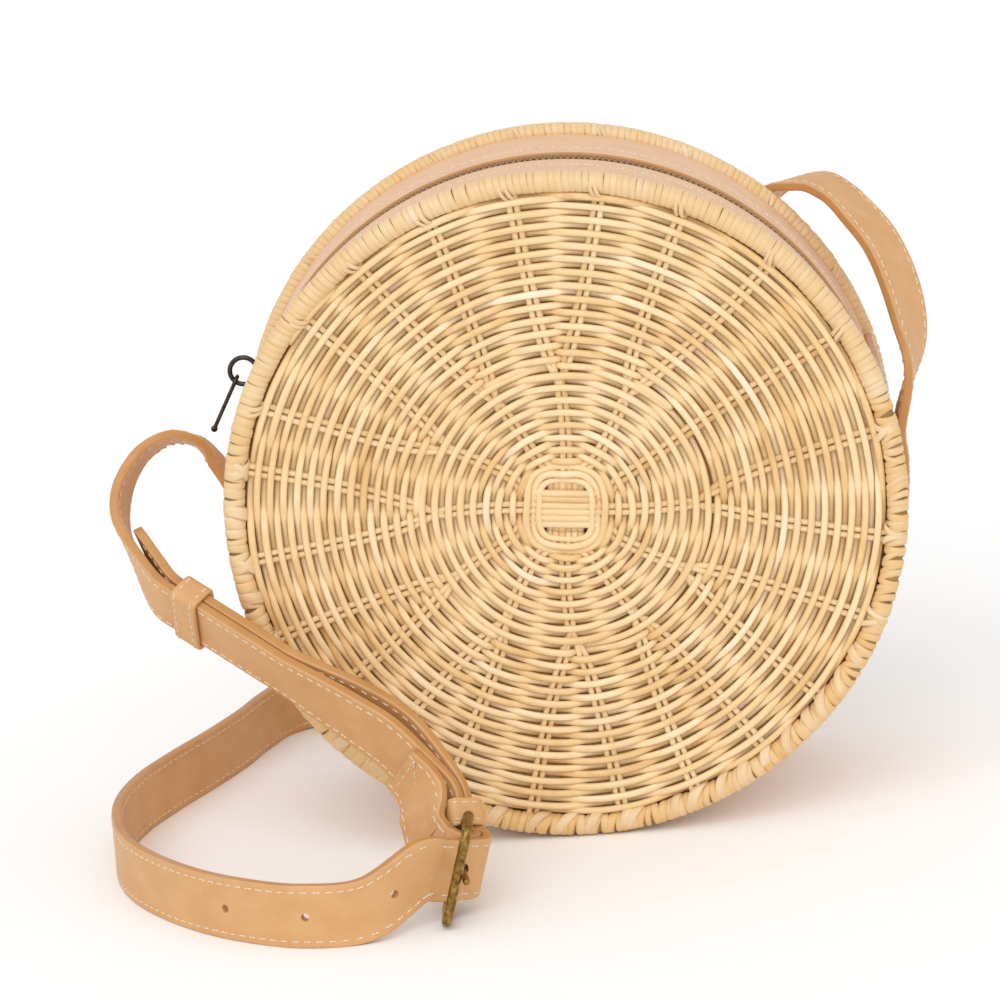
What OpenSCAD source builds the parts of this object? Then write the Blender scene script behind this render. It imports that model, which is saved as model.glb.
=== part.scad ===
// Round wicker bag: two woven discs in wrapped hoops, a leather side with a zip over the top,
// and a buckled leather strap that stands out at the left and lies on the floor in a loop.
// The bag stands upright. X points right, Y to the back and Z up. The origin is on the floor,
// under the middle of the bag.

/* [Basket] */
// Diameter across the wrapped rims
bag_d = 216; // [190:1:250]
// Distance between the middles of the front and back rims
rim_gap = 90; // [80:1:110]
// Thickness of the bare hoops
hoop_d = 7; // [6:0.5:8]
// Thickness of the cane wound round the hoops
wrap_t = 1.5; // [1.2:0.1:1.8]
// Height of the lashings over the wound cane
lash_t = 0.6; // [0.5:0.1:0.8]
// Length of each lashing along the rim
lash_w = 5; // [4:0.5:6]
// Thickness of the reeds that run out from the middle
stake_d = 2.1; // [1.8:0.1:2.2]
// Number of pairs of stakes
stake_count = 23; // [19:2:25]
// Thickness of the reed woven in rows
weaver_d = 1.8; // [1.5:0.1:1.9]
// Spacing of the woven rows
row_pitch = 2; // [2:0.1:2.6]
// Number of reeds each way in the middle cross
cross_count = 6; // [4:1:7]
// Thickness of the lining behind the weave
lining_t = 1.2; // [0.8:0.1:1.5]

/* [Sides and zip] */
// Thickness of the leather strips beside the zip
strip_t = 1.6; // [1.2:0.1:2]
// Thickness of the side band where it lies over the ends of the zip
band_t = 2.3; // [1.8:0.1:2.8]
// Angle of the zip's left end, from the right over the top
zip_left = 163; // [155:1:165]
// Angle of the zip's right end
zip_right = 17; // [15:1:25]
// Length of zip under each end of the side band
zip_lap = 11; // [8:1:14]
// Width of the window between the strips
zip_window = 10.4; // [10:0.2:12]
// Width of one side of the zip tape
tape_w = 13; // [11:0.5:15]
// Thickness of the zip tape
tape_t = 0.6; // [0.5:0.05:0.8]
// Length of one zip tooth across the bag
tooth_l = 2.6; // [2.2:0.1:2.8]
// Thickness of a zip tooth
tooth_d = 1.1; // [0.9:0.1:1.2]
// Spacing of the zip teeth
tooth_pitch = 2.2; // [2:0.1:3]
// Gap between the two rows of teeth, where the slider's divider runs
tooth_gap = 1; // [0.8:0.1:1.2]
// Length of the slider along the zip
slider_l = 11; // [9:0.5:12]
// Angle of the slider's middle
slider_at = 157.8; // [140:0.1:158]
// Thickness of the slider's plates
slider_t = 1.2; // [1:0.1:1.4]
// Inner radius of the slider's crown arch
crown_r = 3.6; // [3.2:0.1:4]
// Thickness of the crown's wire
crown_d = 1.6; // [1.4:0.1:1.8]
// Length of the pull's rod
pull_l = 15.5; // [12:0.5:18]
// Thickness of the pull's rod
pull_d = 1.3; // [1:0.1:1.6]

/* [Strap] */
// Width of the strap
strap_w = 20; // [18:0.5:22]
// Thickness of the strap
strap_t = 3; // [2.5:0.1:3.2]
// Gap between strap layers that lie on each other
layer_gap = 0.3; // [0.2:0.05:0.4]
// Diameter of the punched holes
hole_d = 2.6; // [2:0.1:3]
// Spacing of the punched holes
hole_pitch = 28; // [24:1:30]
// Width of the fixed keeper
keeper_w = 9; // [8:0.5:10]
// Width of the sliding keeper
slide_w = 10; // [8:0.5:12]
// Thickness of the keepers' leather
keeper_t = 1.6; // [1.2:0.1:2]

/* [Buckle] */
// Length of the buckle frame along its bar
frame_l = 34; // [31:0.5:36]
// Distance from the bar to the front rail
frame_reach = 18; // [17:0.5:20]
// Thickness of the frame and its bar
frame_d = 3.5; // [3:0.1:3.8]
// Lean of the buckle frame to the right
frame_lean = 16.3; // [12:0.1:20]
// Thickness of the prong
prong_d = 2.2; // [1.8:0.1:2.4]
// Diameter of the punched hole that the prong is in
prong_hole_d = 4.2; // [4:0.1:4.6]

/* [Hidden] */
$fn = 48;

// Named clearances and the overruns of cuts
overrun = 1;
angle_overrun = 1;
clear = 0.3;
hair = 0.05;

// Basket
bag_r = bag_d / 2;
half_gap = rim_gap / 2;
rim_d = hoop_d + 2 * wrap_t;
rim_r = bag_r - rim_d / 2;
rim_in = rim_r - rim_d / 2;
weave_out = rim_in - lash_t;
weave_off = (stake_d + weaver_d) / 2;
// The rows are drawn with eight flats, weaver_d apart, which keeps so many rings light
weaver_sides = 8;
cross_reach = cross_count * stake_d / 2 + stake_d;
row_first = norm([cross_reach, cross_reach - stake_d]) + weaver_d;
row_last = weave_out - weaver_d / 2;
row_count = floor((row_last - row_first) / row_pitch);
lining_y = weave_off + weaver_d / 2 + hair;
// The stakes are spaced evenly, with the bag's lowest point midway between two of them
function stake_angle(i) = 270 + (i + 0.5) * 360 / stake_count;

// Sides: the strips lie on the side's inner radius, and the band over them
side_r = rim_r;
strip_r = side_r + strip_t;
band_in = strip_r + hair;
band_r = band_in + band_t;
lap_angle = zip_lap / side_r * 180 / PI;

// Slider: plates above and below the teeth, flanges beside them
slider_angle = slider_l / side_r * 180 / PI;
teeth_top = side_r + tooth_d;
plate_in = teeth_top + clear;
plate_out = plate_in + slider_t;
flange_in = tooth_gap / 2 + tooth_l + clear;
flange_out = flange_in + slider_t;
// The divider joins the plates at the slider's leading end, between the rows of teeth
divider_angle = slider_angle / 3;
divider_t = tooth_gap - 2 * clear;
crown_ring = crown_r + crown_d / 2;
crown_at = plate_out + crown_ring;
pull_eye = (crown_d + pull_d) / 2 + clear;
bead_share = 1.7;
bead_d = bead_share * pull_d;
// Direction of the pull's rod at rest, against the line out from the bag's middle
pull_out = -84;
// Place of the pull's eye on the crown, seen from its middle
eye_at = -70;

// Strap layers
layer = strap_t + layer_gap;
strap_seat = band_r + clear + strap_t / 2;

// Buckle: the bar stands out of the strap's fold, and the rail is before it
bar_r = frame_d / 2;
bar_fit = 0.1;
wrap_r = bar_r + clear + strap_t / 2;
billet_r = wrap_r + strap_t + clear + hair * 3;
bar_x_share = -0.3574;
bar_y_share = -2.52;
bar_z = frame_l / 2 * cos(frame_lean) + bar_r * sin(frame_lean);
bar_mid = [bar_x_share * bag_r, bar_y_share * half_gap, bar_z];
frame_v = [0, -1, 0];
frame_w = [sin(frame_lean), 0, cos(frame_lean)];
frame_n = [cos(frame_lean), 0, -sin(frame_lean)];
// Angle at which the main strap meets the bar, from the rail's side to the outer side
meet_angle = 40.7;
meet_dir = cos(meet_angle) * frame_v + sin(meet_angle) * frame_n;
meet_out = cos(meet_angle) * frame_n - sin(meet_angle) * frame_v;
function round_bar(angle, r) = bar_mid + r * (cos(angle) * frame_v + sin(angle) * frame_n);

// A station of a strap is its middle and the direction across it. Its table has shares of the
// bag's radius for X and Z, a share of half the rim gap for Y, a share of half the strap's width
// that is added to Z, and the direction.
function station(s) = [
    [s[0] * bag_r, s[1] * half_gap, s[2] * bag_r + s[3] * strap_w / 2],
    [s[4], s[5], s[6]]
];
// A station on the side band, by its angle
function seated(angle) = [[strap_seat * cos(angle), 0, bag_r + strap_seat * sin(angle)], [0, 1, 0]];
straight_w = [-0.2, 1, -1.15];
straight_a_shares = [-1.185, -0.932, 0.787];
straight_b_shares = [-0.648, -1.775, 0.5];
function straight(t, w) = let (s = straight_a_shares + t * (straight_b_shares - straight_a_shares))
    [[s[0] * bag_r, s[1] * half_gap, s[2] * bag_r], w];

arch_shares = [
    [-1.058, 0, 1.125, 0, 0, 1, -0.1],
    [-1.108, -0.044, 1.182, 0, 0, 1, -0.3],
    [-1.185, -0.11, 1.202, 0, 0, 1, -0.33],
    [-1.267, -0.2, 1.162, 0, 0.05, 1, -0.33],
    [-1.322, -0.31, 1.076, 0, 0.1, 1, -0.32],
    [-1.33, -0.444, 0.983, 0, 0.05, 1, -0.45],
    [-1.283, -0.644, 0.889, 0, -0.05, 1, -0.75]
];
lower_shares = [
    [-0.528, -1.935, 0.42, 0, -0.35, 0.9, -2.6]
];
straight_steps = [-0.06, 0.12, 0.3, 0.48, 0.66];
// A station of the main strap before the bar: how far back, in turns of the strap's own radius
// round the bar, and how far up the bar, in radii of the bar
function before_bar(back, up) =
    [bar_mid + wrap_r * (meet_out - back * meet_dir) + up * bar_r * frame_w, -frame_w];
main_stations = concat(
    [seated(192), seated(187), seated(182), seated(178)],
    [for (s = arch_shares) station(s)],
    [for (t = straight_steps) straight(t, straight_w)],
    [straight(0.84, [-0.26, 1, -1.6]), straight(1, [-0.3, 1, -2])],
    [for (s = lower_shares) station(s)],
    [
        before_bar(5.9, 7),
        before_bar(3.4, 2.05),
        before_bar(2.25, 0.7),
        before_bar(1.1, 0),
        before_bar(0, 0)
    ]
);

over_shares = [
    [1.042, 0.05, 1.235, 0, 0.12, 0.99, -0.03],
    [1.05, 0.2, 1.36, 0, 0.45, 0.88, -0.1],
    [1.034, 0.4, 1.474, 0, 0.5, 0.85, 0],
    [0.996, 0.6, 1.577, 0, 0.45, 0.85, 0.05],
    [0.939, 0.8, 1.658, 0, 0.4, 0.9, 0.1],
    [0.868, 1, 1.725, 0, 0.2, 1, 0.12],
    [0.787, 1.2, 1.75, 0, 0.1, 1, 0],
    [0.68, 1.39, 1.715, 0, 0, 1, -0.35],
    [0.555, 1.56, 1.6, 0, 0, 1, -0.8],
    [0.42, 1.71, 1.4, 0, -0.1, 0.8, -1],
    [0.27, 1.84, 1.15, 0, -0.3, 0.5, -1],
    [0.08, 1.96, 0.88, 0, -0.5, 0.3, -1],
    [-0.13, 2.09, 0.62, 0, -0.5, 0.15, -1],
    [-0.36, 2.22, 0.38, 0, -0.45, 0.05, -1],
    [-0.58, 2.28, 0.16, 0.6, -0.3, 0, -1],
    [-0.79, 2.22, 0.03, 0.97, -0.1, 0, -1]
];
floor_shares = [
    [-0.963, 2.04, 0, 1, 0, 0, -1],
    [-1.042, 1.644, 0, 1, 0, 0, -1],
    [-1.102, 1.2, 0, 1, 0, 0, -1],
    [-1.185, 0.711, 0, 1, 0, 0, -1],
    [-1.278, 0.222, 0, 1, 0, 0, -1],
    [-1.356, -0.267, 0, 1, 0, 0, -1],
    [-1.394, -0.778, 0, 1, 0, 0, -1],
    [-1.384, -1.289, 0, 1, 0, 0, -1],
    [-1.329, -1.778, 0, 1, 0, 0, -1],
    [-1.231, -2.2, 0, 1, 0, 0, -1],
    [-1.102, -2.578, 0, 1, 0, 0, -1],
    [-0.954, -2.867, 0, 1, 0, 0, -1],
    [-0.787, -3.056, 0, 1, 0, 0, -1],
    [-0.611, -3.044, 0.005, 1.02, 0, 0, -1]
];
// A station of the billet before the buckle: an angle round the bar, how far out, in radii of the
// billet's turn, and how far down the bar, in radii of the bar
function before_buckle(angle, out, down, across) =
    [round_bar(angle, out * billet_r) - down * bar_r * frame_w, across];
billet_stations = concat(
    [seated(-12), seated(-6), seated(0), seated(5)],
    [for (s = over_shares) station(s)],
    [for (s = floor_shares) station(s)],
    [
        before_buckle(-39, 2.52, 1, [-0.12, 0, -1]),
        before_buckle(-26, 1.62, 0.6, [-0.2, 0, -1]),
        before_buckle(6, 1.1, 0.3, -frame_w)
    ]
);

// Curve through stations: middles and directions together, six numbers a row
function row(s) = [each s[0], each s[1]];
function spline(p0, p1, p2, p3, t) = 0.5 * (2 * p1 + (p2 - p0) * t
    + (2 * p0 - 5 * p1 + 4 * p2 - p3) * t * t + (3 * p1 - p0 - 3 * p2 + p3) * t * t * t);
function curve(st, steps) = let (n = len(st)) [
    for (i = [0 : n - 2], k = [0 : steps - 1])
        let (
            p1 = row(st[i]),
            p2 = row(st[i + 1]),
            p0 = i > 0 ? row(st[i - 1]) : 2 * p1 - p2,
            p3 = i < n - 2 ? row(st[i + 2]) : 2 * p2 - p1
        )
        spline(p0, p1, p2, p3, k / steps),
    row(st[n - 1])
];
function mid(r) = [r[0], r[1], r[2]];
function unit(v) = v / norm(v);
// Square frames along a curve: middle, along, across and out of the face
function frames(rows) = let (n = len(rows)) [
    for (i = [0 : n - 1])
        let (
            along = unit(mid(rows[min(i + 1, n - 1)]) - mid(rows[max(i - 1, 0)])),
            side = [rows[i][3], rows[i][4], rows[i][5]],
            across = unit(side - (side * along) * along)
        )
        [mid(rows[i]), along, across, cross(along, across)]
];
// Frames moved out of the face
function moved(f, out) = [f[0] + out * f[3], f[1], f[2], f[3]];
// Length along the frames from one to another
function run(f, i, j) = i >= j ? 0 : norm(f[i + 1][0] - f[i][0]) + run(f, i + 1, j);
// Index of the frame that lies nearest to a length before the last one
function back_to(f, length, i) = i <= 0 || length <= 0 ? i
    : back_to(f, length - norm(f[i][0] - f[i - 1][0]), i - 1);
// Point and frame at an exact length before frame i
function at_length(f, length, i) =
    let (t = length / norm(f[i][0] - f[i - 1][0]))
    t > 1 ? at_length(f, length - norm(f[i][0] - f[i - 1][0]), i - 1)
    : [
        f[i][0] + (f[i - 1][0] - f[i][0]) * t,
        for (k = [1 : 3]) unit(f[i][k] + (f[i - 1][k] - f[i][k]) * t)
    ];

steps = 3;
main_frames = frames(curve(main_stations, steps));
main_last = len(main_frames) - 1;
// Half turn of the main strap round the bar
fold_frames = [for (a = [-15 : -15 : -180]) let (angle = meet_angle + 90 + a)
    [round_bar(angle, wrap_r), unit(round_bar(angle - 90, 1) - bar_mid), -frame_w,
        unit(round_bar(angle, 1) - bar_mid)]];
// Leg of the fold, back along the main strap
leg_l = 40;
leg_ease = 12;
leg_first = back_to(main_frames, leg_l, main_last);
// The leg first clears the fixed keeper's leather, which passes between it and the strap
fixed_back = 15.5;
// Room over the strap in the fixed keeper, where the strap twists and turns toward the bar
keeper_fit = 1.4;
keeper_side_fit = 1.2;
fold_room = 2 * wrap_r + clear;
function ease(s) = let (t = max(0, min(1, s))) t * t * (3 - 2 * t);
function leg_out(i) = let (s = run(main_frames, i, main_last))
    2 * wrap_r + (fold_room - 2 * wrap_r) * ease(s / (fixed_back - keeper_w / 2))
        + (layer - fold_room) * ease((s - fixed_back - keeper_w / 2 - clear) / leg_ease);
leg_frames = [for (i = [main_last - 1 : -1 : leg_first]) let (f = main_frames[i])
    [f[0] - leg_out(i) * f[3], -f[1], f[2], -f[3]]];

billet_frames = frames(curve(billet_stations, steps));
billet_last = len(billet_frames) - 1;
// The billet turns round the main strap's fold and goes back along the strap
turn_frames = [for (angle = [24 : 15 : meet_angle + 90])
    [round_bar(angle, billet_r), unit(round_bar(angle + 90, 1) - bar_mid), -frame_w,
        -unit(round_bar(angle, 1) - bar_mid)]];
// Distance from the main strap's middle to the tail's: on it at both ends, bowed out between
bow_from = 12;
bow_to = 92;
bow = 3.6;
tail_l = 168;
// The tail lifts off the strap over its last stretch
lift_from = 128;
lift_ease = 22;
lift = 1.5;
function tail_out(s) = layer + (billet_r - wrap_r - layer) * max(0, 1 - s / bow_from)
    + (s > bow_from && s < bow_to ? bow * pow(sin(180 * (s - bow_from) / (bow_to - bow_from)), 2) : 0)
    + lift * ease((s - lift_from) / lift_ease);
tail_first = back_to(main_frames, tail_l, main_last);
tail_frames = [for (i = [main_last : -1 : tail_first]) let (f = main_frames[i])
    [f[0] + tail_out(run(main_frames, i, main_last)) * f[3], -f[1], f[2], -f[3]]];

// Solid strap along frames: an eight-sided section with eased edges
edge_share = 0.2;
tip_l = 9;
tip_share = 0.45;
function section(f, w, t) = let (e = edge_share * t) [
    for (p = [[-w / 2, -t / 2 + e], [-w / 2 + e, -t / 2], [w / 2 - e, -t / 2], [w / 2, -t / 2 + e],
        [w / 2, t / 2 - e], [w / 2 - e, t / 2], [-w / 2 + e, t / 2], [-w / 2, t / 2 - e]])
        f[0] + p[0] * f[2] + p[1] * f[3]
];
// Widths: full along the strap, drawn in over its rounded tip
function width_at(f, i, tip) = tip == 0 ? strap_w
    : let (left = run(f, i, len(f) - 1)) left >= tip ? strap_w
    : strap_w * (tip_share + (1 - tip_share) * sqrt(1 - pow(1 - left / tip, 2)));

module strap(f, tip) {
    n = len(f);
    points = [for (i = [0 : n - 1]) each section(f[i], width_at(f, i, tip), strap_t)];
    sides = [for (i = [0 : n - 2], k = [0 : 7]) let (a = 8 * i + k, b = 8 * i + (k + 1) % 8)
        each [[a, b + 8, b], [a, a + 8, b + 8]]];
    ends = [for (k = [1 : 6]) each [[0, k, k + 1], [8 * n - 8, 8 * n - 7 + k, 8 * n - 8 + k]]];
    polyhedron(points, concat(sides, ends), convexity = 10);
}

// Lays a shape's X across the strap, its Y along it and its Z into the face
module at_frame(f) {
    translate(f[0])
        rotate([atan2(f[1][2], -f[3][2]), -asin(f[2][2]), atan2(f[2][1], f[2][0])])
            children();
}

// Lays a shape's X toward the rail, its Y to the outer side and its Z along the bar
module at_bar() {
    translate(bar_mid)
        rotate([0, frame_lean, 0])
            rotate([0, 0, -90])
                children();
}

// Ring of the bag: a flat profile with X out from the middle and Y along the bag's axis
module turned(from, to) {
    translate([0, 0, bag_r])
        rotate([90, 0, 0])
            rotate([0, 0, from])
                rotate_extrude(angle = to - from, $fn = 180)
                    children();
}

// Rectangle of a ring's profile, with its Y counted toward the front
module bar_profile(r1, r2, y1, y2) {
    translate([r1, -y2])
        square([r2 - r1, y2 - y1]);
}

// Mirrors the front's pieces to the back
module both(front) {
    if (front) children();
    if (!front) mirror([0, 1, 0]) children();
}

module stakes() {
    color("#d9b877")
        for (i = [0 : stake_count - 1])
            let (
                angle = stake_angle(i),
                lead = max(abs(cos(angle)), abs(sin(angle))),
                start = (cross_reach + 2 * stake_d * abs(sin(angle) * cos(angle))) / lead,
                crowd = stake_count * stake_d / PI + stake_d / 2,
                from = i % 2 == 0 && i < stake_count - 1 ? start : max(start, crowd)
            )
            translate([0, -half_gap, bag_r])
                rotate([0, 90 - angle, 0])
                    for (side = [-1, 1])
                        translate([side * stake_d / 2, 0, from])
                            cylinder(h = weave_out - from, d = stake_d, $fn = 24);
}

module weavers() {
    color("#e3c68c")
        for (k = [0 : row_count])
            translate([0, -half_gap + (k % 2 == 0 ? -1 : 1) * weave_off, bag_r])
                rotate([90, 0, 0])
                    rotate_extrude($fn = 120)
                        translate([row_first + k * row_pitch, 0])
                            rotate(180 / weaver_sides)
                                circle(d = weaver_d / cos(180 / weaver_sides), $fn = weaver_sides);
}

module centre() {
    color("#cfa965")
        for (k = [0 : cross_count - 1])
            let (place = (k - (cross_count - 1) / 2) * stake_d) {
                translate([-cross_reach, -half_gap - stake_d / 2, bag_r + place])
                    rotate([0, 90, 0])
                        cylinder(h = 2 * cross_reach, d = stake_d, $fn = 24);
                translate([place, -half_gap + stake_d / 2, bag_r - cross_reach])
                    cylinder(h = 2 * cross_reach, d = stake_d, $fn = 24);
            }
}

module rim_profile(d) {
    translate([rim_r, half_gap])
        circle(d = d);
}

module hoop() {
    color("#a97c45")
        turned(0, 360)
            rim_profile(hoop_d);
}

module wrap() {
    color("#d8b679")
        turned(0, 360)
            difference() {
                rim_profile(rim_d);
                rim_profile(hoop_d);
            }
}

// Ties over the front half of the rim, clear of the side leather and the lining
module lashings() {
    lash_angle = lash_w / rim_r * 180 / PI;
    lash_back = half_gap + hair
        - min(lining_y, sqrt(pow(rim_d / 2, 2) - pow(band_r - rim_r, 2)));
    color("#e6cc96")
        for (i = [0 : stake_count - 1])
            let (angle = stake_angle(i))
            turned(angle - lash_angle / 2, angle + lash_angle / 2)
                difference() {
                    rim_profile(rim_d + 2 * lash_t);
                    rim_profile(rim_d);
                    bar_profile(side_r - rim_d, side_r + rim_d, -lash_back, 0);
                }
}

module lining() {
    color("#7a5632")
        turned(0, 360)
            difference() {
                bar_profile(0, side_r - hair, -(half_gap - lining_y), -(half_gap - lining_y - lining_t));
                rim_profile(rim_d);
            }
}

// Side leather ends against the round rims
module between_rims() {
    difference() {
        children();
        rim_profile(rim_d + hair);
        mirror([0, 1]) rim_profile(rim_d + hair);
    }
}

module side_band() {
    color("#b98a63") {
        difference() {
            turned(zip_left - 360, zip_right)
                between_rims()
                    bar_profile(side_r, band_r, -half_gap, half_gap);
            for (span = [[zip_right - lap_angle, zip_right + angle_overrun],
                [zip_left - angle_overrun, zip_left + lap_angle]])
                turned(span[0], span[1])
                    bar_profile(side_r - overrun, band_in, -half_gap - overrun, half_gap + overrun);
        }
    }
}

module zip_strip() {
    color("#c2936c")
        turned(zip_right - lap_angle + hair, zip_left + lap_angle - hair)
            between_rims()
                bar_profile(side_r, strip_r, -half_gap, -zip_window / 2);
}

module zip_tape() {
    color("#4b3424")
        turned(zip_right - lap_angle + hair, zip_left + lap_angle - hair)
            bar_profile(side_r - tape_t, side_r - hair, -tooth_gap / 2 - tape_w, -tooth_gap / 2);
}

module zip_teeth() {
    span = zip_left - zip_right;
    count = floor(span * PI / 180 * side_r / tooth_pitch);
    color("#3d2a1c")
        for (i = [0 : count])
            translate([0, 0, bag_r])
                rotate([0, 90 - zip_right - i * span / count, 0])
                    translate([0, -tooth_gap / 2, side_r + tooth_d / 2])
                        rotate([90, 0, 0])
                            cylinder(h = tooth_l, d = tooth_d, $fn = 16);
}

module zip_slider() {
    color("#3b3a38") {
        turned(slider_at - slider_angle / 2, slider_at + slider_angle / 2)
            union() {
                bar_profile(plate_in, plate_out, -flange_out, flange_out);
                bar_profile(side_r + clear, plate_in, flange_in, flange_out);
                bar_profile(side_r + clear, plate_in, -flange_out, -flange_in);
                bar_profile(side_r - tape_t - clear - slider_t, side_r - tape_t - clear,
                    -flange_out, flange_out);
            }
        turned(slider_at - slider_angle / 2, slider_at - slider_angle / 2 + divider_angle)
            bar_profile(side_r - tape_t - clear - hair, plate_in + hair, -divider_t / 2, divider_t / 2);
        translate([0, 0, bag_r])
            rotate([0, 90 - slider_at, 0])
                difference() {
                    translate([0, 0, crown_at])
                        rotate([90, 0, 0])
                            rotate_extrude()
                                translate([crown_ring, 0])
                                    circle(d = crown_d, $fn = 24);
                    translate([-crown_at, -crown_at, 0])
                        cube([2 * crown_at, 2 * crown_at, plate_in + slider_t / 2]);
                }
    }
}

// Eye round the crown's wire, rod and end bead
module pull() {
    color("#33312f")
        translate([0, 0, bag_r])
            rotate([0, 90 - slider_at, 0])
                translate([0, 0, crown_at])
                    rotate([0, eye_at, 0])
                        translate([0, 0, crown_ring]) {
                            rotate([0, pull_out - eye_at, 0]) {
                                rotate([90, 0, 90])
                                    rotate_extrude()
                                        translate([pull_eye, 0])
                                            circle(d = pull_d, $fn = 24);
                                translate([0, 0, pull_eye])
                                    cylinder(h = pull_l, d = pull_d, $fn = 24);
                                translate([0, 0, pull_eye + pull_l])
                                    sphere(d = bead_d, $fn = 24);
                            }
                        }
}

// The prong leans from the middle of the bar to the outer side of the rail
ring_wall_share = 0.6;
ring_r = bar_r + bar_fit + prong_d * ring_wall_share;
prong_angle = asin((bar_r + prong_d / 2 + hair) / frame_reach);

// Slot through the fold of the main strap, for the prong's ring and shank
module fold_slot() {
    slot_r = wrap_r + strap_t;
    slot_w = prong_d + 2 * clear;
    at_bar()
        translate([-ring_r - clear, -slot_r, -slot_w / 2])
            cube([slot_r + ring_r + clear, 2 * slot_r, slot_w]);
}

module main_strap() {
    color("#b9824f")
        difference() {
            strap(concat(main_frames, fold_frames, leg_frames), 0);
            fold_slot();
        }
}

billet_all = concat(billet_frames, turn_frames, tail_frames);
billet_hole_at = billet_last + 1;
module billet_strap() {
    color("#c08a58")
        difference() {
            strap(billet_all, tip_l);
            at_bar()
                rotate([0, 0, prong_angle])
                    rotate([0, 90, 0])
                        translate([0, 0, wrap_r])
                            cylinder(h = frame_reach - wrap_r, d = prong_hole_d, $fn = 24);
            for (k = [1 : 3])
                let (f = at_length(billet_all, k * hole_pitch, billet_hole_at))
                at_frame(f)
                    translate([0, 0, -strap_t])
                        cylinder(h = 2 * strap_t, d = hole_d, $fn = 24);
        }
}

// Loop of leather round two layers of strap, rounder outside than in, to pass by the rim
keeper_round_share = 1.5;
module keeper(f, width, fit, side_fit) {
    inner_w = strap_w + 2 * side_fit;
    inner_t = layer + strap_t + 2 * fit;
    color("#c59165")
        at_frame(moved(f, layer / 2))
            rotate([90, 0, 0])
                translate([0, 0, -width / 2])
                    linear_extrude(height = width)
                        difference() {
                            rounded(inner_w + 2 * keeper_t, inner_t + 2 * keeper_t,
                                keeper_round_share * keeper_t);
                            rounded(inner_w, inner_t, clear);
                        }
}

// Rectangle with round corners
module rounded(w, t, r) {
    square([w - 2 * r, t], center = true);
    square([w, t - 2 * r], center = true);
    for (x = [-1, 1], y = [-1, 1])
        translate([x * (w / 2 - r), y * (t / 2 - r)])
            circle(r = r, $fn = 24);
}

module fixed_keeper() {
    keeper(at_length(main_frames, fixed_back, main_last), keeper_w, keeper_fit,
        keeper_side_fit);
}

slide_place = 0.12;
slide_dir = unit(straight(1, straight_w)[0] - straight(0, straight_w)[0]);
slide_side = unit(straight_w - (straight_w * slide_dir) * slide_dir);
module sliding_keeper() {
    keeper([straight(slide_place, straight_w)[0], slide_dir, slide_side,
        cross(slide_dir, slide_side)], slide_w, clear, clear);
}

module buckle_frame() {
    side_l = frame_l / 2 - bar_r;
    color("#8a6a35")
        at_bar()
            for (x = [0, frame_reach]) {
                translate([x, 0, -side_l])
                    cylinder(h = 2 * side_l, d = frame_d);
                for (z = [-side_l, side_l]) {
                    translate([x, 0, z])
                        sphere(d = frame_d);
                    translate([0, 0, z])
                        rotate([0, 90, 0])
                            cylinder(h = frame_reach, d = frame_d);
                }
            }
}

module prong() {
    color("#937139")
        at_bar()
            rotate([0, 0, prong_angle])
                difference() {
                    union() {
                        translate([0, 0, -prong_d / 2])
                            cylinder(h = prong_d, r = ring_r);
                        rotate([0, 90, 0])
                            cylinder(h = frame_reach + bar_r, d = prong_d, $fn = 32);
                        translate([frame_reach + bar_r, 0, 0])
                            sphere(d = prong_d, $fn = 32);
                    }
                    translate([0, 0, -prong_d])
                        cylinder(h = 2 * prong_d, r = bar_r + bar_fit / 2);
                }
}

both(true) stakes();  // front_stakes
both(true) weavers();  // front_weavers
both(true) centre();  // front_centre
both(true) hoop();  // front_hoop
both(true) wrap();  // front_wrap
both(true) lashings();  // front_lashings
both(true) lining();  // front_lining
both(false) stakes();  // back_stakes
both(false) weavers();  // back_weavers
both(false) centre();  // back_centre
both(false) hoop();  // back_hoop
both(false) wrap();  // back_wrap
both(false) lashings();  // back_lashings
both(false) lining();  // back_lining
side_band();
mirror([0, 1, 0]) zip_strip();  // zip_strip_front
zip_strip();  // zip_strip_rear
mirror([0, 1, 0]) zip_tape();  // zip_tape_front
zip_tape();  // zip_tape_rear
zip_teeth();  // zip_teeth_front
mirror([0, 1, 0]) zip_teeth();  // zip_teeth_rear
zip_slider();
pull();
main_strap();
billet_strap();
fixed_keeper();
sliding_keeper();
buckle_frame();
prong();
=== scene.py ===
"""Looks of the round wicker bag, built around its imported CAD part.

Lengths are in metres. X points right, Y to the back and Z up, with the origin on the floor under the
middle of the bag, as in the CAD source. The discs stand square to Y, at Y -HALF_GAP and +HALF_GAP.
"""

import math

import bpy
import numpy as np
from bpy.props import FloatProperty, IntProperty, PointerProperty
from bpy.types import Operator, Panel, PropertyGroup
from mathutils import Matrix, Vector


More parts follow.
